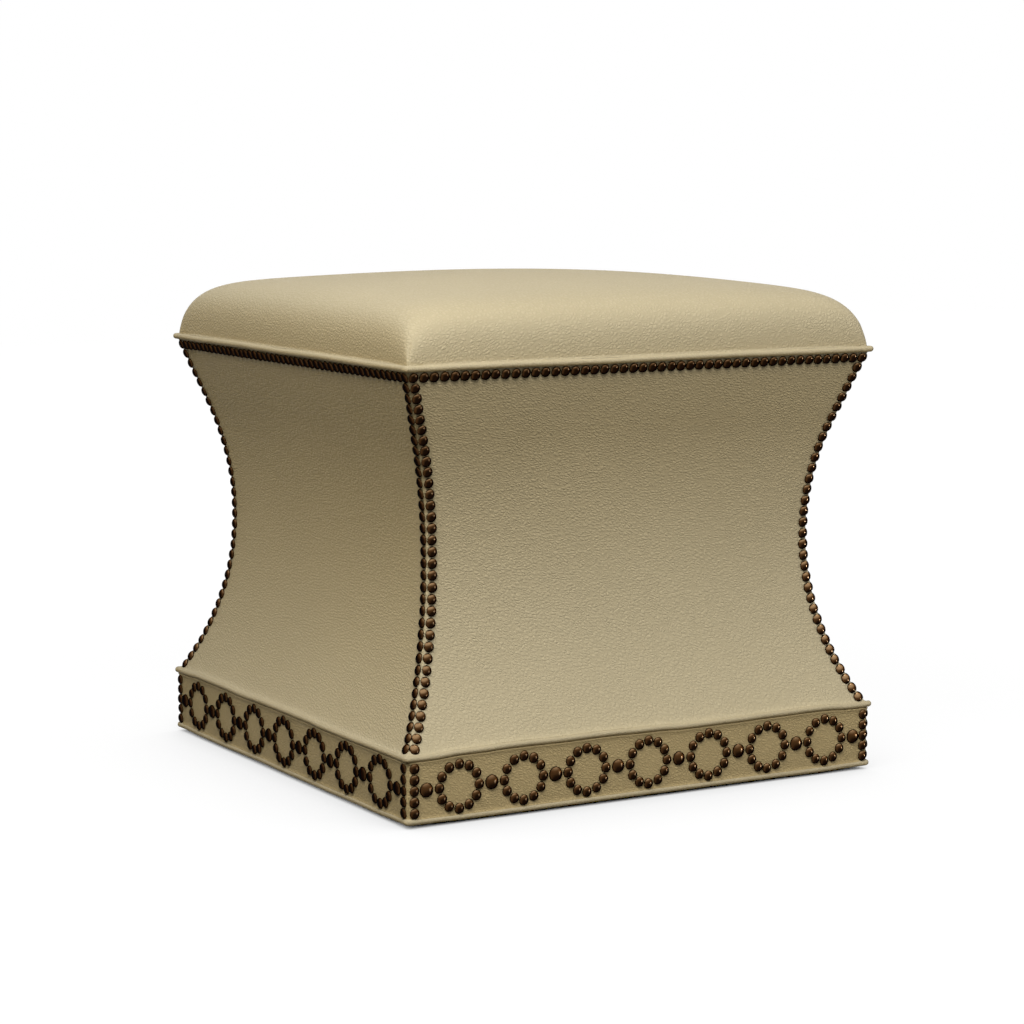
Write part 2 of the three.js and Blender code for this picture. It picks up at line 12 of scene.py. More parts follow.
import bpy
import numpy as np
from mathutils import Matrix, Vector

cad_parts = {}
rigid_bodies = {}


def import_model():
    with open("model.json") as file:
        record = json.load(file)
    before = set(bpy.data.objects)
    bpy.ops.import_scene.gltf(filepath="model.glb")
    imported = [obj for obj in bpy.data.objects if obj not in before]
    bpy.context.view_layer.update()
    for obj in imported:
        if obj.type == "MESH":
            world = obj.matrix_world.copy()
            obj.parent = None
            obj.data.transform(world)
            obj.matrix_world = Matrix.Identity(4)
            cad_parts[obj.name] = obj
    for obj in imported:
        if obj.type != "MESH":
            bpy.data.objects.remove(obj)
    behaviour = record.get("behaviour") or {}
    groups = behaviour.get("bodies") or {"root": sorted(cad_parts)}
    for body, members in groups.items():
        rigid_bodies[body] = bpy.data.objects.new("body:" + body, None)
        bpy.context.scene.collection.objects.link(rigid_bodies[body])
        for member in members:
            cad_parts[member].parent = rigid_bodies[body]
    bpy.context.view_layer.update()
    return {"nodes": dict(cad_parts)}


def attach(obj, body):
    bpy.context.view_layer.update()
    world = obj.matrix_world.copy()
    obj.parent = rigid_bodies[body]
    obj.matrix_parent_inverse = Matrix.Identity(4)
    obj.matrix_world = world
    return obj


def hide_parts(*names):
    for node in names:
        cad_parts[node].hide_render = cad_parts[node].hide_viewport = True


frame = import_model()

# %% [markdown]
# ## The sizes of the stool
# An upholsterer cuts leather to the frame, so every cover starts from the frame's own sizes. They
# could be read off the solids one by one, but a few named values and the curve they set make it
# plain how the pieces depend on each other.

# %% Sizes
SIDES = ("front", "right", "back", "left")
CORNERS = ("front_right", "back_right", "back_left", "front_left")
PLINTH_HALF = 0.267  # middle to the leather face of the plinth
WAIST_HALF = 0.2216
FOOT_HALF = PLINTH_HALF + 0.0013  # middle to the foot of the body
LOW_WELT = 0.006  # heights of the three welts' centres
STEP_WELT = LOW_WELT + 0.0612
TOP_WELT = STEP_WELT + 0.3668
WAIST_HEIGHT = STEP_WELT + 0.178
FLARE_HEIGHT = STEP_WELT + 0.297
WELT_RADIUS = 0.003
TOUCH = 0.0003  # clearance between pieces that touch
LEATHER = 0.0013  # thickness
FELT = 0.0086
CORNER_ROUND = 0.0026  # how sharply the leather turns at a corner
print("plinth %.0f mm wide, top welt at %.0f mm" % (PLINTH_HALF * 2e3, TOP_WELT * 1e3))

# %% [markdown]
# ## The hollow curve of the sides
# Each side of the body is an arc whose centre lies outside the stool, and near the top it runs
# out into a straight flare. One function gives the distance from the middle at any height and
# depth below the leather. A drawn curve would look the same, but a function also places the
# nails.

# %% Side curve
WAIST_RISE = WAIST_HEIGHT - STEP_WELT
FOOT_SPREAD = FOOT_HALF - WAIST_HALF
ARC_RADIUS = (FOOT_SPREAD**2 + WAIST_RISE**2) / (2 * FOOT_SPREAD)
ARC_CENTRE = WAIST_HALF + ARC_RADIUS
FLARE_SINE = (FLARE_HEIGHT - WAIST_HEIGHT) / ARC_RADIUS
FLARE_SLOPE = FLARE_SINE / math.sqrt(1 - FLARE_SINE**2)


def side_reach(height, depth=0.0):
    """Distance from the middle out to a surface some depth below the leather of the body."""
    radius = ARC_RADIUS + depth
    flare_start = WAIST_HEIGHT + radius * FLARE_SINE
    rise = np.minimum(height, flare_start) - WAIST_HEIGHT
    flare = np.maximum(height - flare_start, 0) * FLARE_SLOPE
    return ARC_CENTRE - np.sqrt(radius**2 - rise**2) + flare


def side_slope(height):
    """How fast the side leans out with height."""
    step = 1e-5
    return (side_reach(height + step) - side_reach(height - step)) / (2 * step)


TOP_HALF = float(side_reach(TOP_WELT))
print("sides: arc radius %.1f mm, top half-width %.1f mm" % (ARC_RADIUS * 1e3, TOP_HALF * 1e3))

# %% [markdown]
# ## From rows of points to closed pieces
# Leather, felt and welts all start as rows of points. A skin has an outer and an inner grid,
# joined round the rim, so that it is a closed piece with a real thickness, and a ring closes on
# itself both ways. Solidify could give a thickness too, but a second grid keeps the rims exactly
# in place.


# %% Mesh helpers
def new_piece(name, points, faces):
    """A mesh object with its place in its mesh, shaded smooth and linked to the scene."""
    mesh = bpy.data.meshes.new(name)
    mesh.from_pydata([tuple(p) for p in points], [], faces)
    mesh.validate()
    mesh.shade_smooth()
    piece = bpy.data.objects.new(name, mesh)
    bpy.context.scene.collection.objects.link(piece)
    return piece


def closed_skin(name, outer, inner):
    """Closed piece between two grids of points, whose rows run to the left seen from outside."""
    rows, columns = outer.shape[:2]
    number = np.arange(rows * columns).reshape(rows, columns)
    a, b = number[:-1, :-1].ravel(), number[:-1, 1:].ravel()
    c, d = number[1:, 1:].ravel(), number[1:, :-1].ravel()
    faces = np.column_stack((a, b, c, d)).tolist()
    under = rows * columns
    faces += (np.column_stack((d, c, b, a)) + under).tolist()
    rim = [*number[0, :-1], *number[:-1, -1], *number[-1, :0:-1], *number[:0:-1, 0]]
    for p, q in zip(rim, rim[1:] + rim[:1]):
        faces.append([int(q), int(p), int(p) + under, int(q) + under])
    return new_piece(name, np.concatenate((outer.reshape(-1, 3), inner.reshape(-1, 3))), faces)


def closed_ring(name, loops):
    """Closed piece from loops of points that run round the stool, each beside the next."""
    loops = np.asarray(loops)
    count, length = loops.shape[:2]
    number = np.arange(count * length).reshape(count, length)
    beyond, after = np.roll(number, -1, axis=0), np.roll(number, -1, axis=1)
    both = np.roll(beyond, -1, axis=1)
    faces = np.column_stack((number.ravel(), after.ravel(), both.ravel(), beyond.ravel()))
    return new_piece(name, loops.reshape(-1, 3), faces.tolist())


def turned(points, turn):
    """Points of the front turned to another side, a quarter turn at a time."""
    cos, sin = ((1, 0), (0, 1), (-1, 0), (0, -1))[turn]
    x, y, z = points[..., 0], points[..., 1], points[..., 2]
    return np.stack((x * cos - y * sin, x * sin + y * cos, z), axis=-1)


# %% [markdown]
# ## Hand-sewn welts are never quite straight
# A welt is a cord in a sleeve of leather. Pulled round a frame by hand it rises and falls by a
# millimetre or two, and the covers that end on it follow. Waves could make that drift, but here
# the heights are set at eleven stations across a side and joined smoothly, which keeps a real
# welt's own bow. Every piece that meets a welt asks the same function.

# %% Drift of the welts
STATION_AT = np.array([-0.255, -0.2, -0.15, -0.1, -0.05, 0, 0.05, 0.1, 0.15, 0.2, 0.255])
DRIFTS = {  # millimetres above the true height at each station, for the front and for the left
    "low": ((0.4, 0, -0.1, 0, 0.1, 0.2, 0.1, 0.1, 0, -0.3, 0.3),
            (0.6, -0.2, -0.4, 0.1, 0.3, -0.1, 0, -0.2, 0.1, -0.2, 0.4)),
    "step": ((0.2, 1.9, 2.8, 2.4, 2.8, 2.1, 0.9, 1.2, 1.9, 2.4, 0.7),
             (0.6, 1.9, 1.7, 0.7, 1.4, 1.4, 1.1, 0, -0.2, 0, 0)),
    "top": ((0, 0.2, 0.3, -0.1, -0.3, 0, 0.2, 0.3, 0, -0.2, 0),
            (0, -0.2, 0.1, 0.3, 0, -0.2, 0.1, 0.2, 0, -0.1, 0)),
}
STATION_BLEND = 0.023


def welt_drift(level, turn, across):
    """How far a welt is above its true height, at a distance across one side."""
    front, left = DRIFTS[level]
    heights = (front, left[::-1], front[::-1], left)[turn]
    place = np.asarray(across)[..., None] - STATION_AT
    weights = np.exp(-((place / STATION_BLEND) ** 2)) + 1e-9
    return (weights * heights).sum(axis=-1) / weights.sum(axis=-1) / 1e3


print("welts drift by up to %.1f mm" % max(max(row) for rows in DRIFTS.values() for row in rows))


# %% [markdown]
# ## The welts
# The real welt is one strip that runs once round, with its raw edges laid flat into the joint as
# a flange. A bevelled curve would give the bead alone, so a profile of bead and flange is carried
# round a square with rounded corners. At the corners the cord pushes out a little ear.

# %% Welts
SIDE_STEPS = 110
CORNER_STEPS = 9
BEAD_STEPS = 15
FLANGE_HALF = 0.0006
EAR = 0.0011  # how far the cord pushes out at a corner, and over what length
EAR_LENGTH = 0.007
LEAST_ROUND = 0.0004
PANEL_INNER = 0.0162  # leather face to the inner face of the plywood
LOW_FLANGE = 0.010  # how far the low flange lies under the boards


def square_loop(half, rounding):
    """Plan of one side and of the corner after it, to be repeated by quarter turns."""
    straight = half - rounding
    across = np.linspace(-straight, straight, SIDE_STEPS)
    side = np.column_stack((across, np.full(SIDE_STEPS, -half)))
    angles = np.linspace(0, np.pi / 2, CORNER_STEPS + 2)[1:-1]
    corner = np.column_stack((np.sin(angles), -np.cos(angles)))
    return np.concatenate((side, straight * np.array([1, -1]) + rounding * corner))


def welt(name, level, reach, height, flange_reach, lift, rounding, ear_rise):
    """Bead with a flange at a lift above its centre, carried once round the stool."""
    start = -math.pi - math.asin((lift - FLANGE_HALF) / WELT_RADIUS)
    end = math.pi - math.asin((lift + FLANGE_HALF) / WELT_RADIUS)
    angles = np.linspace(start, end, BEAD_STEPS)
    section = [(math.cos(t) * WELT_RADIUS, math.sin(t) * WELT_RADIUS) for t in angles]
    inset = flange_reach - reach
    section += [(inset, lift + FLANGE_HALF), (inset, lift - FLANGE_HALF)]
    loops = []
    for out, up in section:
        quarter = square_loop(reach + out, max(rounding + out, LEAST_ROUND))
        share = np.clip(np.abs(quarter) / reach, 0, 1).min(axis=1)
        near = np.exp(-(((1 - share) * reach / EAR_LENGTH) ** 2))
        loop = []
        for turn in range(4):
            grown = quarter * (1 + EAR / reach * near[:, None] * (out > -WELT_RADIUS * 2))
            drift = welt_drift(level, turn, quarter[:, 0]) + ear_rise * near
            raised = np.column_stack((grown, height + up + drift))
            loop.append(turned(raised, turn))
        loops.append(np.concatenate(loop))
    return closed_ring(name, loops)


flange_lift = WELT_RADIUS - FLANGE_HALF
top_flange = float(side_reach(TOP_WELT, PANEL_INNER))
step_flange = float(side_reach(STEP_WELT, PANEL_INNER))
low_flange = PLINTH_HALF - LEATHER - TOUCH - LOW_FLANGE
welts = {
    "top": welt("welt_under_seat", "top", TOP_HALF, TOP_WELT, top_flange, 0,
                rounding=0.0035, ear_rise=0.0002),
    "step": welt("welt_over_plinth", "step", FOOT_HALF, STEP_WELT, step_flange, -flange_lift,
                 rounding=0.003, ear_rise=0.0006),
    "low": welt("welt_at_foot", "low", PLINTH_HALF, LOW_WELT, low_flange, flange_lift,
                rounding=0.003, ear_rise=0.0004),
}
for level, piece in welts.items():
    print("welt", level, len(piece.data.polygons), "faces")

# %% [markdown]
# ## Where the nails go
# Nails are set out with dividers from the corners: a row of 48 under the top welt, a column of 33
# down each side of each corner, and rings with a larger nail between them on the plinth. The
# places are worked out before the leather, because leather dips where a nail draws it down.

# %% Nail places
NAIL_RADIUS = 0.0052
LARGE_RADIUS = 0.0071
CORNER_INSET = NAIL_RADIUS + 0.00055  # corner to the middle of a column of nails
NAIL_CLEAR = 0.0001  # between a nail and the edge of its cover
LARGE_CLEAR = 0.0004  # between a column and the large nail beside it
ROW_NAILS = 48
COLUMN_NAILS = 33
RING_NAILS = 12
RINGS = 7
END_NAILS = 5
COVER_FOOT = STEP_WELT + WELT_RADIUS + TOUCH
COVER_TOP = TOP_WELT - WELT_RADIUS - TOUCH

curve_heights = np.linspace(COVER_FOOT, COVER_TOP, 400)
curve_reach = side_reach(curve_heights)


def length_up(outward):
    """Length along the curve up to each height, when a step outwards counts so many times."""
    steps = np.hypot(outward * np.diff(curve_reach), np.diff(curve_heights))
    return np.concatenate(([0], np.cumsum(steps)))


face_length = length_up(1)
corner_length = length_up(np.sqrt(2))
print("side: %.1f mm along its face, %.1f mm along a corner" %
      (face_length[-1] * 1e3, corner_length[-1] * 1e3))


# %% Nails on the body
def body_nail_places():
    """Across and height of each nail on one side of the body."""
    row_up = face_length[-1] - NAIL_RADIUS - NAIL_CLEAR
    row_height = np.interp(row_up, face_length, curve_heights)
    row_half = side_reach(row_height) - CORNER_INSET
    places = [(across, row_height) for across in np.linspace(-row_half, row_half, ROW_NAILS)]
    last_height = np.interp(NAIL_RADIUS + NAIL_CLEAR, face_length, curve_heights)
    ends = np.interp([row_height, last_height], curve_heights, corner_length)
    ups = np.linspace(*ends, COLUMN_NAILS + 1)[1:]
    heights = np.interp(ups, corner_length, curve_heights)
    for side in (-1, 1):
        places += [(side * (side_reach(h) - CORNER_INSET), h) for h in heights]
    return np.array(places)


body_places = body_nail_places()
print("nails on each side of the body:", len(body_places))

# %% Nails on the plinth
RING_DROP = 0.0002  # the rings sit this little below the middle of the plinth
RING_ROOM = 0.0298  # middle of a ring to the middle of a bead
RING_CENTRE = (LOW_WELT + STEP_WELT) / 2 - RING_DROP
RING_RADIUS = RING_ROOM - WELT_RADIUS - NAIL_RADIUS


def plinth_nail_places():
    """Across and height of the small nails and of the large ones on one side of the plinth."""
    column = PLINTH_HALF - CORNER_INSET
    last_large = column - NAIL_RADIUS - LARGE_CLEAR - LARGE_RADIUS
    large = [(across, RING_CENTRE) for across in np.linspace(-last_large, last_large, RINGS + 1)]
    pitch = 2 * last_large / RINGS
    small = []
    for ring in range(RINGS):
        middle = pitch * (ring + 0.5) - last_large
        for angle in np.arange(RING_NAILS) * 2 * np.pi / RING_NAILS:
            small.append((middle + RING_RADIUS * np.cos(angle),
                          RING_CENTRE + RING_RADIUS * np.sin(angle)))
    for side in (-1, 1):
        for share in np.linspace(-1, 1, END_NAILS):
            small.append((side * column, RING_CENTRE + RING_RADIUS * share))
    return np.array(small), np.array(large)


plinth_small, plinth_large = plinth_nail_places()
print("nails on each side of the plinth:", len(plinth_small), "small,", len(plinth_large), "large")

# %% [markdown]
# ## Leather on the body
# Each side is one panel of leather, drawn over felt and turned at the corners, where two panels
# meet in a fine seam between the nail columns. A grid with narrow columns near the corners and
# narrow rows near the top follows the dip that each nail pulls. Cloth simulation would soften the
# straight edges that nailing keeps, so the tight cover is moved point by point instead.

# %% Grid of a cover
EDGE_COLUMNS = np.array([0, 0.35, 0.8, 1.4, 2.1, 2.9, 3.8, 4.8, 5.8, 6.8, 8, 9.6, 11.6, 14,
                         17, 21]) / 1e3  # from the corner inwards
MIDDLE_COLUMNS = 76
FOOT_ROWS = np.array([0, 0.3, 0.65, 1.05, 1.5, 2.1, 2.8, 3.7, 5, 7]) / 1e3
TOP_ROWS = np.arange(9) * 0.0018


def columns_across(half_length):
    """Signed distances across a cover, crowded at both ends, for rows of any length."""
    edge = half_length[:, None] - EDGE_COLUMNS[None, :]
    middle = np.linspace(-1, 1, MIDDLE_COLUMNS + 2)[1:-1]
    inner = edge[:, -1:] * middle[None, :]
    return np.concatenate((-edge, inner, edge[:, ::-1]), axis=1)


def rows_up(length, middle_rows):
    """Shares of a length from foot to top, crowded at both ends."""
    low, high = FOOT_ROWS / length, 1 - TOP_ROWS[::-1] / length
    middle = np.linspace(low[-1], high[0], middle_rows + 2)[1:-1]
    return np.concatenate((low, middle, high))[:, None]


def round_corner(along, reach, rounding):
    """Plan place and outward direction at a signed distance along a face with turned ends."""
    flat = reach - rounding
    past = np.clip(np.abs(along) - flat, 0, None) / np.maximum(rounding, 1e-6)
    sign = np.sign(along)
    x = sign * (np.minimum(np.abs(along), flat) + rounding * np.sin(past))
    y = -(flat + rounding * np.cos(past))
    return x, y, sign * np.sin(past), -np.cos(past)


print("columns across a cover:", columns_across(np.array([FOOT_HALF])).size)

# %% [markdown]
# ## What moves the leather
# Four things move a tight cover by less than two millimetres: nails and seams draw it in, it
# swells slowly with the felt, and it spreads where it comes down on a bead. They are added to one
# distance, which is then laid off square to the side.

# %% Side covers
BODY_ROWS = 86  # rows between the foot rows and the top rows
BODY_DOWN = 0.0013  # how far the leather comes down over a bead
DIP_DEPTH = 0.0006
DIP_WIDTH = 0.0062
SEAM_DEPTH = 0.0004
SEAM_WIDTH = 0.0006
SPREAD = 0.0019  # how far the leather spreads where it comes down on a bead
SPREAD_RISE = 0.0020
SWELL = 0.00012  # slow swells of the felt, and their length across and up
SWELL_ACROSS, SWELL_UP = 0.21, 0.17
INNER_ROUND = 0.0003  # rounding of the layers deep under a corner
COVER_LIFT = 0.0001  # the outer edge of a cover stands above its inner one


def dips(across, height, places):
    """How deeply the nails draw the leather in at each point, as a share of one nail's pull."""
    total = np.zeros(across.shape)
    for x, h in places:
        distance = (across - x) ** 2 + (height - h) ** 2
        total = np.maximum(total, np.exp(-distance / DIP_WIDTH**2))
    return total


def seam_dip(along):
    """How far the seams at the corners draw the leather in."""
    corner = np.abs(along).max(axis=1, keepdims=True) - np.abs(along)
    return SEAM_DEPTH * np.exp(-((corner / SEAM_WIDTH) ** 2))


def body_layer(turn, low, high, depth, rows, dipped):
    """Points of one side of the body at a depth below the leather, mitred at the corners."""
    share = rows_up(high - low, rows)
    rounding = max(CORNER_ROUND - depth, INNER_ROUND)
    reach = side_reach(low + (high - low) * share[:, 0], depth)
    along = columns_across(reach - rounding + rounding * np.pi / 4)
    bottom = low + welt_drift("step", turn, along)
    top = high + welt_drift("top", turn, along)
    height = bottom + (top - bottom) * share
    reach = side_reach(height, depth)
    x, y, out_x, out_y = round_corner(along, reach, rounding)
    move = np.zeros(along.shape)
    if dipped:
        move -= DIP_DEPTH * dips(along, height, body_places)
        move -= seam_dip(along)
        across, up = 2 * np.pi * along / SWELL_ACROSS, 2 * np.pi * height / SWELL_UP
        move += SWELL * (np.sin(across + turn) * np.sin(up + turn))
        move += SPREAD * np.exp(-(height - bottom) / SPREAD_RISE)
    slope = side_slope(height)
    steep = np.sqrt(1 + slope**2)
    return np.stack((x + out_x / steep * move, y + out_y / steep * move,
                     height - slope / steep * move), axis=-1)


side_covers = []
for turn, side in enumerate(SIDES):
    foot, top = COVER_FOOT - BODY_DOWN, COVER_TOP
    outer = body_layer(turn, foot, top + COVER_LIFT, 0.0, BODY_ROWS, True)
    inner = body_layer(turn, foot, top, LEATHER, BODY_ROWS, True)
    cover = closed_skin("leather_side_" + side, turned(outer, turn), turned(inner, turn))
    side_covers.append(cover)
print("side covers:", len(side_covers), "of", len(side_covers[0].data.polygons), "faces")

# %% [markdown]
# ## Felt under the side leather
# A firm felt pads the plywood and rounds off the edges. It never shows, but a repairer who lifts
# the leather finds it, so it is a piece of its own, with the same curve a little deeper.

# %% Felt
FELT_ROWS = 24
FELT_SHORT = 0.001  # how far the felt stops short of the edges of the leather

felt_sides = []
for turn, side in enumerate(SIDES):
    outer, inner = [body_layer(turn, COVER_FOOT + FELT_SHORT, COVER_TOP - FELT_SHORT, depth,
                               FELT_ROWS, False)
                    for depth in (LEATHER + TOUCH + DIP_DEPTH, LEATHER + FELT)]
    felt_sides.append(closed_skin("felt_side_" + side, turned(outer, turn), turned(inner, turn)))
print("felt:", len(felt_sides), "pads")

# %% [markdown]
# ## Leather on the plinth
# The plinth is a board with leather drawn flat over it, from the step welt to the low one. It is
# made like the sides, but straight up, and stands out a little between its beads. The nails dip
# it only a little, because there is no felt.

# %% Plinth covers
PLINTH_DOWN = 0.00098
PLINTH_FOOT = LOW_WELT + WELT_RADIUS + TOUCH - PLINTH_DOWN
PLINTH_TOP = STEP_WELT - WELT_RADIUS - TOUCH
PLINTH_DIP = 0.00025
PLINTH_FILL = 0.0015  # how far the leather stands out between its beads
FILL_RISE = 0.005
TOP_ROLL = 0.0015  # how far the leather rolls out under the upper bead
PLINTH_ROWS = 16


def plinth_layer(turn, depth):
    """Points of one side of the plinth at a depth below the leather."""
    share = rows_up(PLINTH_TOP - PLINTH_FOOT, PLINTH_ROWS)
    rounding = max(CORNER_ROUND - depth, INNER_ROUND)
    reach = np.full(len(share), PLINTH_HALF - depth)
    along = columns_across(reach - rounding + rounding * np.pi / 4)
    bottom = PLINTH_FOOT + welt_drift("low", turn, along)
    top = PLINTH_TOP + welt_drift("step", turn, along)
    height = bottom + (top - bottom) * share
    x, y, out_x, out_y = round_corner(along, reach[:, None], rounding)
    places = np.concatenate((plinth_small, plinth_large))
    filled = PLINTH_FILL * (1 - np.exp(-(height - bottom) / FILL_RISE))
    move = filled * (depth == 0) - PLINTH_DIP * dips(along, height, places)
    move = move + SPREAD * np.exp(-(height - bottom) / SPREAD_RISE)
    move = move + TOP_ROLL * (depth == 0) * np.exp(-(top - height) / SPREAD_RISE)
    move -= seam_dip(along)
    return np.stack((x + out_x * move, y + out_y * move, height), axis=-1)


plinth_covers = []
for turn, side in enumerate(SIDES):
    outer, inner = plinth_layer(turn, 0.0), plinth_layer(turn, LEATHER)
    cover = closed_skin("leather_plinth_" + side, turned(outer, turn), turned(inner, turn))
    plinth_covers.append(cover)
print("plinth covers:", len(plinth_covers), "of", len(plinth_covers[0].data.polygons), "faces")

# %% [markdown]
# ## The seat cushion
# The seat is a block of foam with a fibre wrap, and the leather is pulled down over both, mitred
# at the corners. Its crown and its shoulders follow one rule: square in plan, with corners that
# are nearly sharp at the hem and softer above, and round at the shoulder. The same rule, drawn in
# step by step, gives the wrap and the foam, so each layer fits in the next.

# %% Cushion rule
CROWN = 0.0744  # top welt to the highest point
SEAT_HALF = TOP_HALF - 0.0017
DOME_RISE = 0.014
SIDE_TUCK = 0.0061
SQUARENESS = 12.1
SHOULDER = 3.74
SEAT_STEPS = 132
CROWDING = 2.9
HEM = TOP_WELT + 0.0028
CORNER_FOOT = 0.003  # plan rounding of the corners at the hem and higher up
CORNER_HIGH = 0.008
CORNER_RISE = 0.020


def shoulder_share(share):
    """Height of the shoulder, from 0 at the side to 1 over the middle."""
    return np.clip(1 - np.abs(share) ** SQUARENESS, 0, None) ** (1 / SHOULDER)


def seat_grid(inset, hem, steps=SEAT_STEPS, crowding=CROWDING):
    """Face of the cushion drawn in by an inset, as a grid of points crowded towards the edges."""
    even = np.linspace(-1, 1, steps + 1)
    share = np.sign(even) * (1 - (1 - np.abs(even)) ** crowding)
    across, along = np.meshgrid(share, share)
    base = TOP_WELT - SIDE_TUCK - inset
    rise = (CROWN + SIDE_TUCK - DOME_RISE) * shoulder_share(across) * shoulder_share(along)
    dome = DOME_RISE * (1 - across**2) * (1 - along**2)
    half = SEAT_HALF - inset
    height = np.maximum(base + rise + dome, hem)
    share = np.clip((height - hem) / CORNER_RISE, 0, 1)
    rounding = CORNER_FOOT + (CORNER_HIGH - CORNER_FOOT) * share**2 * (3 - 2 * share)
    plan = np.stack((across, along), axis=-1) * half
    past = np.clip(np.abs(plan) - (half - rounding)[..., None], 0, None)
    squeeze = past.max(axis=-1) / np.maximum(np.hypot(past[..., 0], past[..., 1]), 1e-9)
    pulled = np.where((past > 0).all(axis=-1), 1 - squeeze, 0)
    plan -= np.sign(plan) * past * pulled[..., None]
    return np.concatenate((plan, height[..., None]), axis=-1)


print("cushion: crown at %.1f mm" % (seat_grid(0.0, HEM)[..., 2].max() * 1e3))

# %% [markdown]
# ## Creases at the seat corners
# Where the cover turns a corner it is mitred and eased, which leaves a soft ridge with a few
# short creases beside it, crisp at the welt and gone at the shoulder. They are carved into the
# outer face as waves that fade with the distance from the corner and with the height above the
# welt.

# %% Seat cover
CREASE_DEPTH = 0.00012
CREASE_PITCH = 0.0075
CREASE_FADE = 0.014
CREASE_HEIGHT = 0.022


def creased(grid):
    """The cushion's face with the creases of its mitred corners."""
    x, y, z = grid[..., 0], grid[..., 1], grid[..., 2]
    spare = np.abs(np.abs(x) - np.abs(y))
    strength = np.exp(-spare / CREASE_FADE) * np.exp(-(((z - HEM) / CREASE_HEIGHT) ** 2))
    depth = CREASE_DEPTH * strength * np.cos(2 * np.pi * spare / CREASE_PITCH)
    away = np.stack((x, y), axis=-1) / np.maximum(np.hypot(x, y), 1e-6)[..., None]
    moved = grid.copy()
    moved[..., :2] += away * depth[..., None]
    return moved


seat_cover = closed_skin("leather_seat_cover", creased(seat_grid(0.0, HEM)),
                         seat_grid(LEATHER, HEM))
print("seat cover:", len(seat_cover.data.polygons), "faces")

# %% [markdown]
# ## Fibre wrap and foam
# The wrap softens the edges of the foam, and the foam rests flat on the seat deck. Both are
# closed forms made by the cushion's rule at their own insets.

# %% Fibre wrap and foam
SEAT_FLOOR = TOP_WELT + FLANGE_HALF + TOUCH
WRAP = 0.008
PADDING_GRID = (60, 2.4)  # steps, and how they crowd towards the edges
wrap_inset = LEATHER + TOUCH
foam_inset = wrap_inset + WRAP + TOUCH
fibre_wrap = closed_skin("fibre_seat_wrap", seat_grid(wrap_inset, SEAT_FLOOR, *PADDING_GRID),
                         seat_grid(wrap_inset + WRAP, SEAT_FLOOR, *PADDING_GRID))
foam_top = seat_grid(foam_inset, SEAT_FLOOR, *PADDING_GRID)
foam_base = foam_top.copy()
foam_base[..., 2] = SEAT_FLOOR
foam_block = closed_skin("foam_seat_block", foam_top, foam_base)
print("fibre wrap and foam block made")

# %% [markdown]
# ## Cloth under the foot
# A black dust cloth closes the stool underneath. It is stapled round its edge and sags a few
# millimetres between the staples, so it is a thin sheet with a shallow sag, clear of the floor.

# %% Dust cloth
DUST_HALF = PLINTH_HALF - WELT_RADIUS - 0.005
DUST_TOP = LOW_WELT + WELT_RADIUS - 2 * FLANGE_HALF - TOUCH
DUST_THICKNESS = 0.0006
DUST_SAG = 0.0022
DUST_RIPPLE = 0.0003
DUST_STEPS = 72

even = np.linspace(-1, 1, DUST_STEPS + 1)
across, along = np.meshgrid(even, even)
ripple = DUST_RIPPLE * np.sin(9 * across + 4 * along) * np.sin(7 * along - 3 * across)
sag = (DUST_SAG + ripple) * (1 - across**4) * (1 - along**4)
dust_upper = np.stack((across * DUST_HALF, along * DUST_HALF, DUST_TOP - sag), axis=-1)
dust_lower = dust_upper - np.array([0, 0, DUST_THICKNESS])
dust_cloth = closed_skin("dust_cloth_under_foot", dust_upper, dust_lower)
print("dust cloth: lowest at %.1f mm" % (dust_lower[..., 2].min() * 1e3))

# %% [markdown]
# ## Glides
# Four nylon glides with steel pins are tapped into the posts through the dust cloth. A glide is a
# turned piece, so its profile is carried round its own axis.

# %% Glides
GLIDE_REACH = 0.20775
GLIDE_RADIUS = 0.014
GLIDE_TOP = 0.0064
PIN_RADIUS = 0.002
PIN_TOP = 0.0204
GLIDE_SIDES = 40


def turned_on_axis(name, profile, centre):
    """Closed round piece about an upright axis, from a profile of radius and height, foot first."""
    angles = np.arange(GLIDE_SIDES) * 2 * np.pi / GLIDE_SIDES
    points, faces = [], []
    for radius, height in profile:
        points += [(centre[0] + radius * math.cos(t), centre[1] + radius * math.sin(t), height)
                   for t in angles]
    for ring in range(0, (len(profile) - 1) * GLIDE_SIDES, GLIDE_SIDES):
        for i in range(GLIDE_SIDES):
            a, b = ring + i, ring + (i + 1) % GLIDE_SIDES
            faces.append((a, b, b + GLIDE_SIDES, a + GLIDE_SIDES))
    faces.append(tuple(range(GLIDE_SIDES))[::-1])
    faces.append(tuple(range((len(profile) - 1) * GLIDE_SIDES, len(profile) * GLIDE_SIDES)))
    return new_piece(name, points, faces)


glide_profile = [(0.0108, 0.0), (0.0122, 0.0002), (0.0133, 0.0008), (GLIDE_RADIUS, 0.0018),
                 (GLIDE_RADIUS, 0.0056), (0.0137, 0.0061), (0.0130, GLIDE_TOP),
                 (PIN_RADIUS, GLIDE_TOP), (PIN_RADIUS, PIN_TOP - 0.002), (0.0007, PIN_TOP)]
glides = []
for corner, (x, y) in zip(CORNERS, ((1, -1), (1, 1), (-1, 1), (-1, -1))):
    centre = (x * GLIDE_REACH, y * GLIDE_REACH)
    glides.append(turned_on_axis("foot_glide_" + corner, glide_profile, centre))
print("glides:", len(glides))

# %% [markdown]
# ## Building node trees
# Materials and Geometry Nodes are both trees of nodes. One helper adds a node, sets it up and
# wires its inputs, and the others add the few nodes that every tree needs. That keeps each tree
# short enough to read beside what it does.


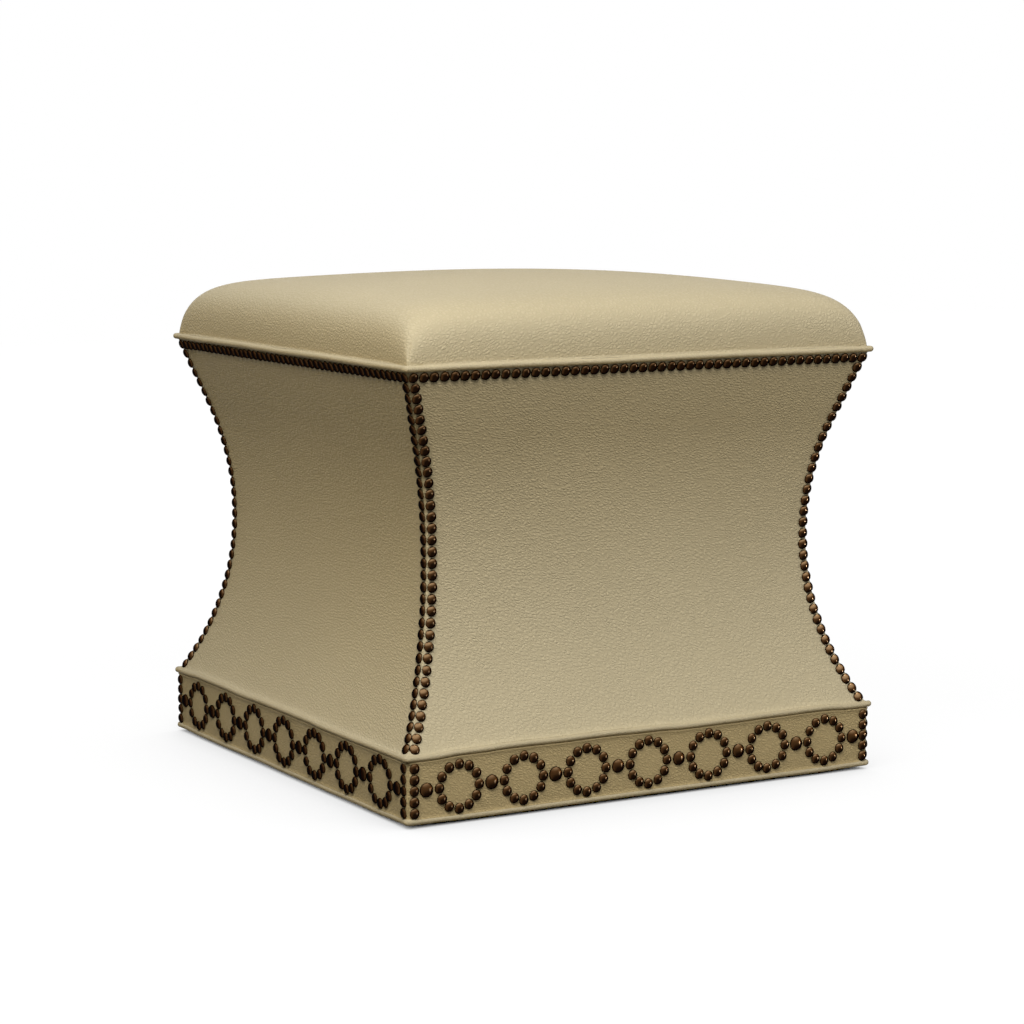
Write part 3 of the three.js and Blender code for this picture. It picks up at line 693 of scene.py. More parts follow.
# %% Node helpers
def add(tree, kind, inputs=None, **settings):
    """New node. Inputs pairs a socket's name or number with a value, or with what feeds it."""
    node = tree.nodes.new(kind)
    for key, value in settings.items():
        setattr(node, key, value)
    for key, value in (inputs or {}).items():
        if isinstance(value, bpy.types.NodeSocket):
            tree.links.new(value, node.inputs[key])
        else:
            node.inputs[key].default_value = value
    return node


def calc(tree, operation, first, second=0.0, clamp=False):
    """One sum on two numbers."""
    node = add(tree, "ShaderNodeMath", {0: first, 1: second}, operation=operation)
    node.use_clamp = clamp
    return node.outputs[0]


def plus(tree, start, amount, share, clamp=False):
    """A number with a share of another added to it."""
    return calc(tree, "ADD", start, calc(tree, "MULTIPLY", amount, share), clamp)


def vector_calc(tree, operation, first, second=None):
    """One sum on two vectors, or on a vector and the number that scales it."""
    inputs = {0: first}
    if second is not None:
        inputs["Scale" if operation == "SCALE" else 1] = second
    node = add(tree, "ShaderNodeVectorMath", inputs, operation=operation)
    return node.outputs["Value" if operation in ("DOT_PRODUCT", "LENGTH") else "Vector"]


def combine(tree, x=0.0, y=0.0, z=0.0):
    """Vector from three numbers."""
    return add(tree, "ShaderNodeCombineXYZ", {0: x, 1: y, 2: z}).outputs[0]


def z_of(tree, vector):
    """Upright part of a vector."""
    return add(tree, "ShaderNodeSeparateXYZ", {0: vector}).outputs[2]


def stretch(tree, value, low, high, new_low=0.0, new_high=1.0):
    """A value moved smoothly from one range to another."""
    node = add(tree, "ShaderNodeMapRange", {0: value, 1: low, 2: high, 3: new_low, 4: new_high},
               interpolation_type="SMOOTHSTEP")
    return node.outputs[0]


def noise(tree, where, scale, detail=2.0, distortion=0.0):
    """Soft noise between 0 and 1, finer with a larger scale."""
    return add(tree, "ShaderNodeTexNoise", {"Vector": where, "Scale": scale, "Detail": detail,
                                            "Distortion": distortion}).outputs["Fac"]


# %% [markdown]
# ## Colours, groups and finishes
# Colours are written as a painter would read them off, from 0 to 255, and turned into the linear
# values that nodes take. A group is a tree with named sockets that other trees use as one node.

# %% Group and finish helpers
SOCKETS = {"value": "Float", "whole": "Int", "colour": "Color", "vector": "Vector",
           "shape": "Geometry", "finish": "Material"}


def srgb(red, green, blue):
    """Linear colour from values between 0 and 255."""
    values = [v / 255 for v in (red, green, blue)]
    return (*[v / 12.92 if v <= 0.04045 else ((v + 0.055) / 1.055) ** 2.4 for v in values], 1.0)


def blend_colours(tree, factor, first, second):
    """Mix of two colours."""
    return add(tree, "ShaderNodeMix", {0: factor, 6: first, 7: second},
               data_type="RGBA").outputs[2]


def node_group(name, kind, inputs, outputs):
    """Empty node group with named sockets, what its inputs give and where its outputs go."""
    group = bpy.data.node_groups.new(name, kind)
    for title, socket, default in inputs:
        made = group.interface.new_socket(name=title, in_out="INPUT",
                                          socket_type="NodeSocket" + SOCKETS[socket])
        if default is not None:
            made.default_value = default
    for title, socket in outputs:
        group.interface.new_socket(name=title, in_out="OUTPUT",
                                   socket_type="NodeSocket" + SOCKETS[socket])
    return (group, group.nodes.new("NodeGroupInput").outputs,
            group.nodes.new("NodeGroupOutput").inputs)


def new_material(name):
    """Material with a Principled shader, its tree, that shader and the place of each point."""
    material = bpy.data.materials.new(name)
    material.use_nodes = True
    tree = material.node_tree
    where = add(tree, "ShaderNodeTexCoord").outputs["Object"]
    return material, tree, tree.nodes["Principled BSDF"], where


def surface(tree, shader, colour, roughness, height, relief):
    """Gives a shader a colour, a roughness and a height that stands up by a relief in metres."""
    bump = add(tree, "ShaderNodeBump", {"Height": height, "Distance": relief}).outputs[0]
    for title, value in (("Base Color", colour), ("Roughness", roughness), ("Normal", bump)):
        tree.links.new(value, shader.inputs[title])


def dress(pieces, material):
    """Gives new pieces their one material."""
    for piece in pieces:
        piece.data.materials.clear()
        piece.data.materials.append(material)


# %% [markdown]
# ## Pebble grain
# Embossed leather has rounded pebbles with fine creases between them. Voronoi cells give the
# pebbles, and their distance to the nearest edge gives the creases. The cells are bent by noise
# and pressed flatter along one slanting direction, so that on every side of the stool they run
# down at a slant, as on a hide that stretched one way. A second, finer set lies inside them.

# %% Pebble grain group
BEND_SCALE = 110.0
FINER = 2.3  # how many small pebbles lie across a large one
SMALL_SHARE = 0.25

grain_group, given, result = node_group(
    "pebble_grain", "ShaderNodeTree",
    [("Vector", "vector", None), ("Press Along", "vector", (0.0, 0.0, 1.0)),
     ("Pebble Size", "value", 0.004), ("Flatten", "value", 2.0), ("Bend", "value", 0.0012)],
    [("Height", "value"), ("Crease", "value")])
tree = grain_group
bend = add(tree, "ShaderNodeTexNoise",
           {"Vector": given["Vector"], "Scale": BEND_SCALE, "Detail": 2.0}).outputs["Color"]
centred = vector_calc(tree, "SUBTRACT", bend, (0.5, 0.5, 0.5))
bent = vector_calc(tree, "ADD", given["Vector"], vector_calc(tree, "SCALE", centred, given["Bend"]))
along = vector_calc(tree, "DOT_PRODUCT", bent, given["Press Along"])
extra = calc(tree, "MULTIPLY", along, calc(tree, "SUBTRACT", given["Flatten"], 1.0))
pressed = vector_calc(tree, "ADD", bent, vector_calc(tree, "SCALE", given["Press Along"], extra))
cells_per_metre = calc(tree, "DIVIDE", 1.0, given["Pebble Size"])
domes = []
for scale, edge in ((cells_per_metre, 0.34), (calc(tree, "MULTIPLY", cells_per_metre, FINER), 0.3)):
    cells = add(tree, "ShaderNodeTexVoronoi", {"Vector": pressed, "Scale": scale},
                feature="DISTANCE_TO_EDGE")
    domes.append(stretch(tree, cells.outputs["Distance"], 0.0, edge))
height = calc(tree, "MULTIPLY", plus(tree, domes[0], domes[1], SMALL_SHARE), 0.8)
tree.links.new(height, result["Height"])
tree.links.new(calc(tree, "SUBTRACT", 1.0, height, clamp=True), result["Crease"])
print("pebble grain:", len(tree.nodes), "nodes")

# %% [markdown]
# ## Slow drift of tone
# No hide, board or cloth has one even colour. Large soft noise moves the colour a little either
# way, and smaller noise adds mottling. Every finish but the bronze and the bare timber uses this
# group with its own amounts.

# %% Tone drift group
PATCH_WEIGHT = 1.4
MOTTLE_WEIGHT = 0.6

tone_group, given, result = node_group(
    "tone_drift", "ShaderNodeTree",
    [("Vector", "vector", None), ("Colour", "colour", (0.5, 0.5, 0.5, 1)),
     ("Patches", "value", 7.0), ("Amount", "value", 0.08), ("Mottle", "value", 60.0)],
    [("Colour", "colour")])
tree = tone_group
patches = noise(tree, given["Vector"], given["Patches"], 3.0)
mottle = noise(tree, given["Vector"], given["Mottle"])
both = plus(tree, calc(tree, "MULTIPLY", patches, PATCH_WEIGHT), mottle, MOTTLE_WEIGHT)
swing = calc(tree, "SUBTRACT", both, 1.0)
gain = plus(tree, 1.0, swing, calc(tree, "MULTIPLY", given["Amount"], 2.0))
tree.links.new(vector_calc(tree, "SCALE", given["Colour"], gain), result["Colour"])


def tone(tree, where, colour, patches, amount, mottle):
    """A colour that drifts by an amount, in patches and mottles of so many to the metre."""
    return add(tree, "ShaderNodeGroup",
               {"Vector": where, "Colour": colour, "Patches": patches, "Amount": amount,
                "Mottle": mottle}, node_tree=tone_group).outputs["Colour"]


print("tone drift:", len(tree.nodes), "nodes")

# %% [markdown]
# ## The leather finish
# The hide is a pale khaki with a satin finish. A paler, greyer tone is painted on as sheen where
# it faces up or to the front, and hardly at all on the plinth. Creases are painted darker, as
# shade, and are duller; the plinth and the welts get an even painted shade; the tone drifts slowly,
# and the grain stands up as bump. Welts are cut from the same hide, but stretched round a cord, so
# their grain is finer and flatter.

# %% Leather
HIDE = srgb(190, 168, 120)
# painted sheen: a paler, greyer hide painted where the surface faces up and to the front
PAINTED_SHEEN_HIDE = srgb(189, 176, 144)
# painted shade: a darker hide painted into the creases, and evenly over the plinth and the welts
PAINTED_SHADE_HIDE = srgb(112, 92, 58)
SHEEN_PAINTED_TOWARDS = (0.15, -0.35, 0.92)  # up and a little to the front
SHEEN_FROM, SHEEN_TO = -0.6, 0.75
PORE_SCALE = 900.0
PORE_RELIEF = 0.12
SATIN = 0.44  # roughness, to which creases and pores add
CREASE_DULL = 0.06
PORE_DULL = 0.08
SHEEN = 0.07


def leather(name, pebble, flatten, relief, press_along, strength=1.0, shade=0.0, crease_shade=0.1):
    """Pebbled leather with its own pebbles and relief in metres, pressed along a direction."""
    material, tree, shader, where = new_material(name)
    grain = add(tree, "ShaderNodeGroup",
                {"Vector": where, "Pebble Size": pebble, "Flatten": flatten,
                 "Press Along": press_along}, node_tree=grain_group).outputs
    facing = add(tree, "ShaderNodeNewGeometry").outputs["Normal"]
    lit = vector_calc(tree, "DOT_PRODUCT", facing, SHEEN_PAINTED_TOWARDS)
    # painted sheen, scaled by strength: full on body and seat, little on the plinth
    painted_sheen = stretch(tree, lit, SHEEN_FROM, SHEEN_TO, 0.0, strength)
    colour = tone(tree, where, blend_colours(tree, painted_sheen, HIDE, PAINTED_SHEEN_HIDE), 6.0, 0.035, 90.0)
    # painted shade: an even share from shade, and more in the creases by crease_shade
    shaded = plus(tree, shade, grain["Crease"], crease_shade)
    pores = noise(tree, where, PORE_SCALE)
    dull = plus(tree, SATIN, grain["Crease"], CREASE_DULL)
    surface(tree, shader, blend_colours(tree, shaded, colour, PAINTED_SHADE_HIDE),
            plus(tree, dull, pores, PORE_DULL), plus(tree, grain["Height"], pores, PORE_RELIEF),
            relief)
    shader.inputs["Specular IOR Level"].default_value = SHEEN
    return material


DOWN_SLANT = (0.38, -0.34, 0.86)  # pressed along this, grain runs down to the right
UP_SLANT = (-0.38, -0.34, 0.86)
dress(side_covers, leather("khaki_pebbled_leather", 0.0053, 2.1, 0.00042, DOWN_SLANT))
# plinth: little painted sheen, an even painted shade and more painted shade in its creases
dress(plinth_covers, leather("khaki_plinth_leather", 0.0046, 1.8, 0.00034, DOWN_SLANT,
                             strength=0.1, shade=0.1, crease_shade=0.16))
dress([seat_cover], leather("khaki_seat_leather", 0.0043, 1.5, 0.00038, UP_SLANT, crease_shade=0.14))
# welts: an even painted shade
dress(welts.values(), leather("khaki_welt_leather", 0.0036, 1.0, 0.00026, DOWN_SLANT, shade=0.1))
print("leather on", len(side_covers) + len(plinth_covers) + 1, "covers and", len(welts), "welts")

# %% [markdown]
# ## Bronze nail heads
# The heads are low domes with a dark oxidised finish and a patina that drifts at random. Light is
# painted on them as colour: a brown and tan painted reflection on the side that faces up and to the
# near corner and on one flank, and a small painted highlight. One even colour would look like
# paint.
# The nail tree stores how far each point faces the painted light, and the finish reads that and the
# direction of the surface.

# %% Bronze
# OXIDE is the real dark finish; the brown is painted light moved a little by patina, the tans are
# painted reflection and painted highlight
OXIDE, PATINA_AND_LIGHT_BROWN = srgb(22, 10, 3), srgb(78, 51, 26)
PAINTED_REFLECTION_TAN, PAINTED_HIGHLIGHT_TAN = srgb(170, 136, 98), srgb(196, 166, 130)
# painted highlight: the direction it faces, its width, its height and its lift
HIGHLIGHT_ACROSS = (0.985, 0.15, 0.0)  # a surface square to this and level faces the spot
HIGHLIGHT_WIDTH, HIGHLIGHT_HEIGHT = 0.05, 0.12
HIGHLIGHT_LIFT = 0.08
PATINA_SWING = 0.16

bronze, tree, shader, where = new_material("oxidised_bronze")
painted_light = add(tree, "ShaderNodeAttribute", None, attribute_name="painted_light").outputs["Fac"]
patina = calc(tree, "SUBTRACT", noise(tree, where, 85.0, 3.0), 0.5)
speckle = noise(tree, where, 1400.0, 3.0)
facing = add(tree, "ShaderNodeNewGeometry").outputs["Normal"]
across = calc(tree, "DIVIDE", vector_calc(tree, "DOT_PRODUCT", facing, HIGHLIGHT_ACROSS), HIGHLIGHT_WIDTH)
up = calc(tree, "DIVIDE", calc(tree, "SUBTRACT", z_of(tree, facing), HIGHLIGHT_LIFT), HIGHLIGHT_HEIGHT)
off_highlight = vector_calc(tree, "LENGTH", combine(tree, across, up))
# painted reflection: brown and tan from the stored painted light, moved by patina, with a painted
# halo round the highlight
painted_light_and_patina = calc(tree, "MAXIMUM", plus(tree, painted_light, patina, PATINA_SWING),
            stretch(tree, off_highlight, 0.8, 4.5, 0.58, 0.0))
colour = blend_colours(tree, stretch(tree, painted_light_and_patina, 0.40, 0.76), OXIDE, PATINA_AND_LIGHT_BROWN)
colour = blend_colours(tree, stretch(tree, painted_light_and_patina, 0.68, 0.98), colour, PAINTED_REFLECTION_TAN)
# painted highlight
colour = blend_colours(tree, stretch(tree, off_highlight, 0.5, 1.3, 0.4, 0.0), colour, PAINTED_HIGHLIGHT_TAN)
colour = blend_colours(tree, calc(tree, "MULTIPLY", speckle, 0.15), colour, srgb(30, 20, 13))
surface(tree, shader, colour, plus(tree, 0.2, speckle, 0.12), speckle, 0.00004)
for title, value in (("Metallic", 1.0), ("Specular Tint", srgb(124, 92, 58)),
                     ("Coat Weight", 0.02), ("Coat Roughness", 0.1)):
    shader.inputs[title].default_value = value
print("bronze:", len(tree.nodes), "nodes")

# %% [markdown]
# ## Setting copies on points
# Nails and staples are both grown: a tree makes one shape and sets a copy on every marked point.
# Copying objects would do the same, but a tree keeps the sizes in one place. These helpers read
# what is stored on the points, draw small differences with a fixed seed, turn the copies and make
# them real.


# %% Growing helpers
def field(tree, title):
    """Vector stored on each point under a title."""
    return add(tree, "GeometryNodeInputNamedAttribute", {"Name": title},
               data_type="FLOAT_VECTOR").outputs[0]


def scatter(tree, spread, seed):
    """Random vector for each point, from minus a spread to plus the same."""
    return add(tree, "FunctionNodeRandomValue",
               {0: vector_calc(tree, "SCALE", spread, -1.0), 1: spread, "Seed": seed},
               data_type="FLOAT_VECTOR").outputs[0]


def turn_towards(tree, axis, direction, angles):
    """Rotation that lays an axis along a direction and then leans by angles of its own."""
    straight = add(tree, "FunctionNodeAlignRotationToVector", {"Vector": direction}, axis=axis)
    lean = add(tree, "FunctionNodeEulerToRotation", {0: angles})
    return add(tree, "FunctionNodeRotateRotation", {0: straight.outputs[0], 1: lean.outputs[0]},
               rotation_space="LOCAL").outputs[0]


def set_out(tree, points, shape, rotation, scale=(1.0, 1.0, 1.0)):
    """Smooth, real copies of a shape on points."""
    copies = add(tree, "GeometryNodeInstanceOnPoints",
                 {"Points": points, "Instance": shape, "Rotation": rotation, "Scale": scale})
    real = add(tree, "GeometryNodeRealizeInstances", {"Geometry": copies.outputs[0]})
    return add(tree, "GeometryNodeSetShadeSmooth", {"Geometry": real.outputs[0]}).outputs[0]


def grown(name, points, fields, tree, settings):
    """Plain mesh that a tree grows on points with vector fields, with its settings by title."""
    seeds = new_piece(name + "_marks", points, [])
    for title, values in fields.items():
        attribute = seeds.data.attributes.new(title, "FLOAT_VECTOR", "POINT")
        attribute.data.foreach_set("vector", np.asarray(values, np.float32).ravel())
    modifier = seeds.modifiers.new("grow", "NODES")
    modifier.node_group = tree
    for socket in tree.interface.items_tree:
        if socket.name in settings:
            modifier[socket.identifier] = settings[socket.name]
    evaluated = seeds.evaluated_get(bpy.context.evaluated_depsgraph_get())
    mesh = bpy.data.meshes.new_from_object(evaluated)
    mesh.name = name
    piece = bpy.data.objects.new(name, mesh)
    bpy.context.scene.collection.objects.link(piece)
    seeds.modifiers.clear()
    bpy.data.objects.remove(seeds)
    return piece


# %% [markdown]
# ## Nails by the hundred
# A hand-nailed stool has 864 nails. Each head is a sphere whose lower half is pressed flat,
# turned to face outwards, then tilted and sized a little differently each time. How far a point
# of a head faces the painted light is stored for the bronze to read.

# %% Nail tree
UNDERSIDE = 0.16  # depth of the pressed lower half, as a share of the radius
SMALLEST, LARGEST = 0.975, 1.02
# painted reflection on the flank: where it starts and how strong it gets at most
SIDE_LIGHT_START = 0.12
SIDE_LIGHT_MOST = 0.63

nail_tree, given, result = node_group(
    "nail_heads", "GeometryNodeTree",
    [("Points", "shape", None), ("Tilt", "value", 0.05), ("Slide", "value", 0.00015),
     ("Seed", "whole", 1), ("Finish", "finish", None)], [("Nails", "shape")])
tree = nail_tree
ball = add(tree, "GeometryNodeMeshUVSphere", {"Segments": 14, "Rings": 8, "Radius": 1.0})
x, y, z = add(tree, "ShaderNodeSeparateXYZ",
              {0: add(tree, "GeometryNodeInputPosition").outputs[0]}).outputs
raised = plus(tree, calc(tree, "MAXIMUM", z, 0.0), calc(tree, "MINIMUM", z, 0.0), UNDERSIDE)
head = add(tree, "GeometryNodeSetPosition",
           {"Geometry": ball.outputs["Mesh"], "Position": combine(tree, x, y, raised)})
slide = scatter(tree, combine(tree, given["Slide"], given["Slide"], given["Slide"]),
                given["Seed"])
places = add(tree, "GeometryNodeSetPosition", {"Geometry": given["Points"], "Offset": slide})
lean = scatter(tree, combine(tree, given["Tilt"], given["Tilt"], math.pi),
               calc(tree, "ADD", given["Seed"], 7.0))
size = add(tree, "FunctionNodeRandomValue",
           {2: SMALLEST, 3: LARGEST, "Seed": calc(tree, "ADD", given["Seed"], 13.0)},
           data_type="FLOAT").outputs[1]
heads = set_out(tree, places.outputs[0], head.outputs[0],
                turn_towards(tree, "Z", field(tree, "outward"), lean),
                vector_calc(tree, "SCALE", field(tree, "head_size"), size))
facing = add(tree, "GeometryNodeInputNormal").outputs[0]
# painted light: how far each point faces the painted light from above and from the flank
painted_light_top, painted_light_side = [vector_calc(tree, "DOT_PRODUCT", facing, field(tree, title))
                     for title in ("painted_light_top", "painted_light_side")]
painted_light_side = calc(tree, "SUBTRACT", painted_light_side, SIDE_LIGHT_START)
painted_light = calc(tree, "MAXIMUM", painted_light_top, calc(tree, "MINIMUM", painted_light_side, SIDE_LIGHT_MOST))
noted = add(tree, "GeometryNodeStoreNamedAttribute",
            {"Geometry": heads, "Name": "painted_light", "Value": painted_light},
            data_type="FLOAT", domain="POINT")
finished = add(tree, "GeometryNodeSetMaterial",
               {"Geometry": noted.outputs[0], "Material": given["Finish"]})
tree.links.new(finished.outputs[0], result[0])
print("nail tree:", len(tree.nodes), "nodes")

# %% [markdown]
# ## Driving the nails
# For each side the marked points carry the direction they face, the size of their head and the
# directions of the painted light on it. The tree runs once for the body and once for the plinth,
# its result is kept as a plain mesh, and the points are thrown away.

# %% Nails
SMALL_HEAD = (0.0053, 0.0053, 0.0027)
LARGE_HEAD = (0.0073, 0.0073, 0.0034)
NAIL_LIFT = 0.0003  # the foot of a head above the flat of the leather
BODY_TILT, PLINTH_TILT = 0.07, 0.05
BODY_SEED, PLINTH_SEED = 11, 31
# directions of the painted light on the heads, on the front and back and on the left and right
LIGHT_FROM_ABOVE = np.array([(-0.25, -0.4, 0.88), (-0.13, -0.51, 0.67)])
LARGE_LIGHT_FROM_ABOVE = np.array([(-0.16, -0.53, 0.68), (-0.16, -0.4, 0.54)])
LIGHT_FROM_FLANK = np.array([(-0.96, -0.28, 0.0), (0.0, -1.15, 0.0)])
BODY_LIGHT = 1.12  # the body is painted with more light than the plinth


def drive(name, turn, places, reach, slope, heads, painted_light_aims, tilt, seed):
    """Nails of one side, at places across and up, from the way the side reaches and leans out."""
    steep = np.sqrt(1 + slope**2)
    out = np.column_stack((np.zeros(len(places)), -1 / steep, 0 - slope / steep))
    foot = np.column_stack((places[:, 0], -reach, places[:, 1])) + out * NAIL_LIFT
    way = (1, 1, 1) if SIDES[turn] in ("front", "left") else (-1, -1, 1)
    fields = {"outward": turned(out, turn), "head_size": heads, "painted_light_top": painted_light_aims * way,
              "painted_light_side": np.tile(LIGHT_FROM_FLANK[turn % 2] * way, (len(places), 1))}
    return grown(name + SIDES[turn], turned(foot, turn), fields, nail_tree,
                 {"Tilt": tilt, "Seed": seed + turn, "Finish": bronze})


plinth_places = np.concatenate((plinth_small, plinth_large))
plinth_reach = np.full(len(plinth_places), PLINTH_HALF + PLINTH_FILL)
body_nails, plinth_nails = [], []
for turn in range(4):
    small, large = LIGHT_FROM_ABOVE[turn % 2], LARGE_LIGHT_FROM_ABOVE[turn % 2]
    count = len(body_places)
    body_nails.append(drive(
        "nails_body_", turn, body_places, side_reach(body_places[:, 1]),
        side_slope(body_places[:, 1]), [SMALL_HEAD] * count,
        np.tile(small * BODY_LIGHT, (count, 1)), BODY_TILT, BODY_SEED))
    plinth_nails.append(drive(
        "nails_plinth_", turn, plinth_places, plinth_reach, np.zeros(len(plinth_places)),
        [SMALL_HEAD] * len(plinth_small) + [LARGE_HEAD] * len(plinth_large),
        np.array([small] * len(plinth_small) + [large] * len(plinth_large)),
        PLINTH_TILT, PLINTH_SEED))
print("nails:", sum(len(n.data.polygons) for n in body_nails + plinth_nails), "faces")

# %% [markdown]
# ## Steel and nylon
# Screws and staples are bright zinc-plated wire, with fine drawn lines and dulled patches. The
# glides are moulded nylon: nearly black, faintly speckled, and scuffed underneath where they
# slide.

# %% Steel and nylon
SCUFF_HEIGHT = 0.0015

steel, tree, shader, where = new_material("zinc_plated_steel")
lines = noise(tree, where, 1800.0)
surface(tree, shader, tone(tree, where, srgb(172, 174, 176), 60.0, 0.12, 500.0),
        stretch(tree, lines, 0.3, 0.7, 0.28, 0.5), lines, 0.00003)
shader.inputs["Metallic"].default_value = 1.0

nylon, tree, shader, where = new_material("black_nylon")
colour = tone(tree, where, srgb(46, 44, 42), 90.0, 0.15, 700.0)
scuffs = noise(tree, where, 420.0, 4.0)
underfoot = calc(tree, "MULTIPLY", stretch(tree, z_of(tree, where), 0.0, SCUFF_HEIGHT, 1.0, 0.0),
                 stretch(tree, scuffs, 0.45, 0.7))
surface(tree, shader, blend_colours(tree, underfoot, colour, srgb(120, 116, 110)),
        stretch(tree, scuffs, 0.2, 0.8, 0.34, 0.6), scuffs, 0.00008)
dress(glides, nylon)
print("nylon on", len(glides), "glides")

# %% [markdown]
# ## Staples round the dust cloth
# The cloth is held by fourteen staples along each edge, set in a few millimetres from the rim and
# never quite in line. Each shows as a low wire arch, swept along a short curve by a second tree.

# %% Staples
STAPLES_PER_SIDE = 14
STAPLE_INSET = 0.007
STAPLE_SPREAD = 0.95  # share of an edge between the first staple and the last
STAPLE_BOW = -0.0007
STAPLE_SKEW = 0.2
STAPLE_SUNK = 0.0003

staple_tree, given, result = node_group(
    "staples", "GeometryNodeTree",
    [("Points", "shape", None), ("Width", "value", 0.010), ("Wire", "value", 0.00045),
     ("Seed", "whole", 5), ("Finish", "finish", None)], [("Staples", "shape")])
tree = staple_tree
right = calc(tree, "MULTIPLY", given["Width"], 0.5)
left = calc(tree, "MULTIPLY", right, -1.0)
arch = add(tree, "GeometryNodeCurvePrimitiveBezierSegment",
           {"Resolution": 6, "Start": combine(tree, left), "End": combine(tree, right),
            "Start Handle": combine(tree, left, 0.0, STAPLE_BOW),
            "End Handle": combine(tree, right, 0.0, STAPLE_BOW)})
wire = add(tree, "GeometryNodeCurvePrimitiveCircle", {"Resolution": 6, "Radius": given["Wire"]})
swept = add(tree, "GeometryNodeCurveToMesh",
            {"Curve": arch.outputs[0], "Profile Curve": wire.outputs[0], "Fill Caps": True})
skew = scatter(tree, combine(tree, 0.0, 0.0, STAPLE_SKEW), given["Seed"])
copies = set_out(tree, given["Points"], swept.outputs[0],
                 turn_towards(tree, "X", field(tree, "run"), skew))
finished = add(tree, "GeometryNodeSetMaterial", {"Geometry": copies, "Material": given["Finish"]})
tree.links.new(finished.outputs[0], result[0])

edge = DUST_HALF - STAPLE_INSET
spread = np.linspace(-edge * STAPLE_SPREAD, edge * STAPLE_SPREAD, STAPLES_PER_SIDE)
level = DUST_TOP - DUST_THICKNESS - STAPLE_SUNK
marks = np.column_stack((spread, 0 * spread - edge, 0 * spread + level))
runs = np.tile([1.0, 0.0, 0.0], (STAPLES_PER_SIDE, 1))
marks, runs = [np.concatenate([turned(rows, turn) for turn in range(4)]) for rows in (marks, runs)]
staples = grown("staples_under_foot", marks, {"run": runs}, staple_tree, {"Finish": steel})
print("staples:", len(marks), "with", len(staples.data.polygons), "faces")

# %% [markdown]
# ## Felt, fibre and foam
# The hidden soft layers get their own finishes, so that the stool can be taken apart on screen.
# Felt is matted hair in greys and browns, fibre is white and woolly, and foam is a pale yellow
# sponge with open cells.


# %% Soft finishes
def soft_finish(name, colour, second, speck, relief, cells=False):
    """Matt finish from two colours, specked by noise or by open cells of a size in metres."""
    material, tree, shader, where = new_material(name)
    if cells:
        texture = add(tree, "ShaderNodeTexVoronoi", {"Vector": where, "Scale": 1 / speck})
        amount = stretch(tree, texture.outputs["Distance"], 0.1, 0.55, 1.0, 0.0)
    else:
        amount = stretch(tree, noise(tree, where, 1 / speck, 4.0, 1.5), 0.42, 0.62)
    drift = tone(tree, where, colour, 12.0, 0.06, 150.0)
    surface(tree, shader, blend_colours(tree, amount, drift, second),
            stretch(tree, amount, 0.0, 1.0, 0.85, 1.0), amount, relief)
    shader.inputs["Specular IOR Level"].default_value = 0.1
    return material


dress(felt_sides, soft_finish("hair_felt", srgb(150, 142, 128), srgb(96, 84, 70), 0.0022, 0.0004))
dress([fibre_wrap],
      soft_finish("white_fibre", srgb(232, 230, 224), srgb(205, 203, 196), 0.0040, 0.0008))
dress([foam_block],
      soft_finish("yellow_foam", srgb(226, 212, 160), srgb(196, 178, 124), 0.0011, 0.0003, True))
print("soft finishes on", len(felt_sides) + 2, "pieces")

# %% [markdown]
# ## Black spun cloth
# Dust cloth is a thin black fabric. Two crossed sets of waves stand for its threads, broken up by
# noise, so it never looks like flat paint when the stool is turned over.

# %% Dust cloth finish
THREAD_SCALE = 160.0

dust_finish, tree, shader, where = new_material("black_dust_cloth")
warp, weft = [add(tree, "ShaderNodeTexWave",
                  {"Vector": where, "Scale": THREAD_SCALE, "Distortion": 0.6, "Detail": 2.0},
                  bands_direction=direction).outputs["Fac"] for direction in "XY"]
threads = calc(tree, "MAXIMUM", warp, weft)
colour = blend_colours(tree, calc(tree, "MULTIPLY", threads, 0.45),
                       tone(tree, where, srgb(44, 43, 44), 9.0, 0.14, 120.0), srgb(84, 83, 82))
surface(tree, shader, colour, stretch(tree, threads, 0.0, 1.0, 0.95, 0.78), threads, 0.0002)
dress([dust_cloth], dust_finish)
print("dust cloth finish:", len(tree.nodes), "nodes")

# %% [markdown]
# ## Sawn hardwood and plywood
# The frame is hardwood sawn along its length and left unfinished, and the panels and deck are
# plywood. Grain is noise pulled out along the timber, so each direction of timber has its own
# stretch. Plywood shows its face grain, and the deck shows darker glue lines at every ply.

# %% Wood grain group
wood_group, given, result = node_group(
    "sawn_grain", "ShaderNodeTree",
    [("Vector", "vector", None), ("Stretch", "vector", (1.0, 1.0, 1.0)),
     ("Pale", "colour", None), ("Dark", "colour", None)],
    [("Colour", "colour"), ("Height", "value")])
tree = wood_group
pulled = vector_calc(tree, "MULTIPLY", given["Vector"], given["Stretch"])
rings = calc(tree, "MULTIPLY", noise(tree, pulled, 45.0, 4.0, 0.8), 5.0)
ringed = stretch(tree, calc(tree, "PINGPONG", rings, 0.5), 0.02, 0.5, 0.0, 0.75)
open_pores = stretch(tree, noise(tree, pulled, 420.0), 0.55, 0.68)
shade = plus(tree, ringed, open_pores, 0.3, clamp=True)
tree.links.new(blend_colours(tree, shade, given["Pale"], given["Dark"]), result["Colour"])
tree.links.new(calc(tree, "SUBTRACT", 1.0, shade), result["Height"])
print("wood grain:", len(tree.nodes), "nodes")

# %% Wood finishes
PLY = 0.0024  # thickness of one layer
ALONG = {"x": (0.06, 1.0, 1.0), "y": (1.0, 0.06, 1.0), "z": (1.0, 1.0, 0.06)}
HARDWOOD = srgb(205, 168, 122), srgb(160, 118, 76)  # pale and dark
PLYWOOD = srgb(216, 186, 142), srgb(178, 142, 98)


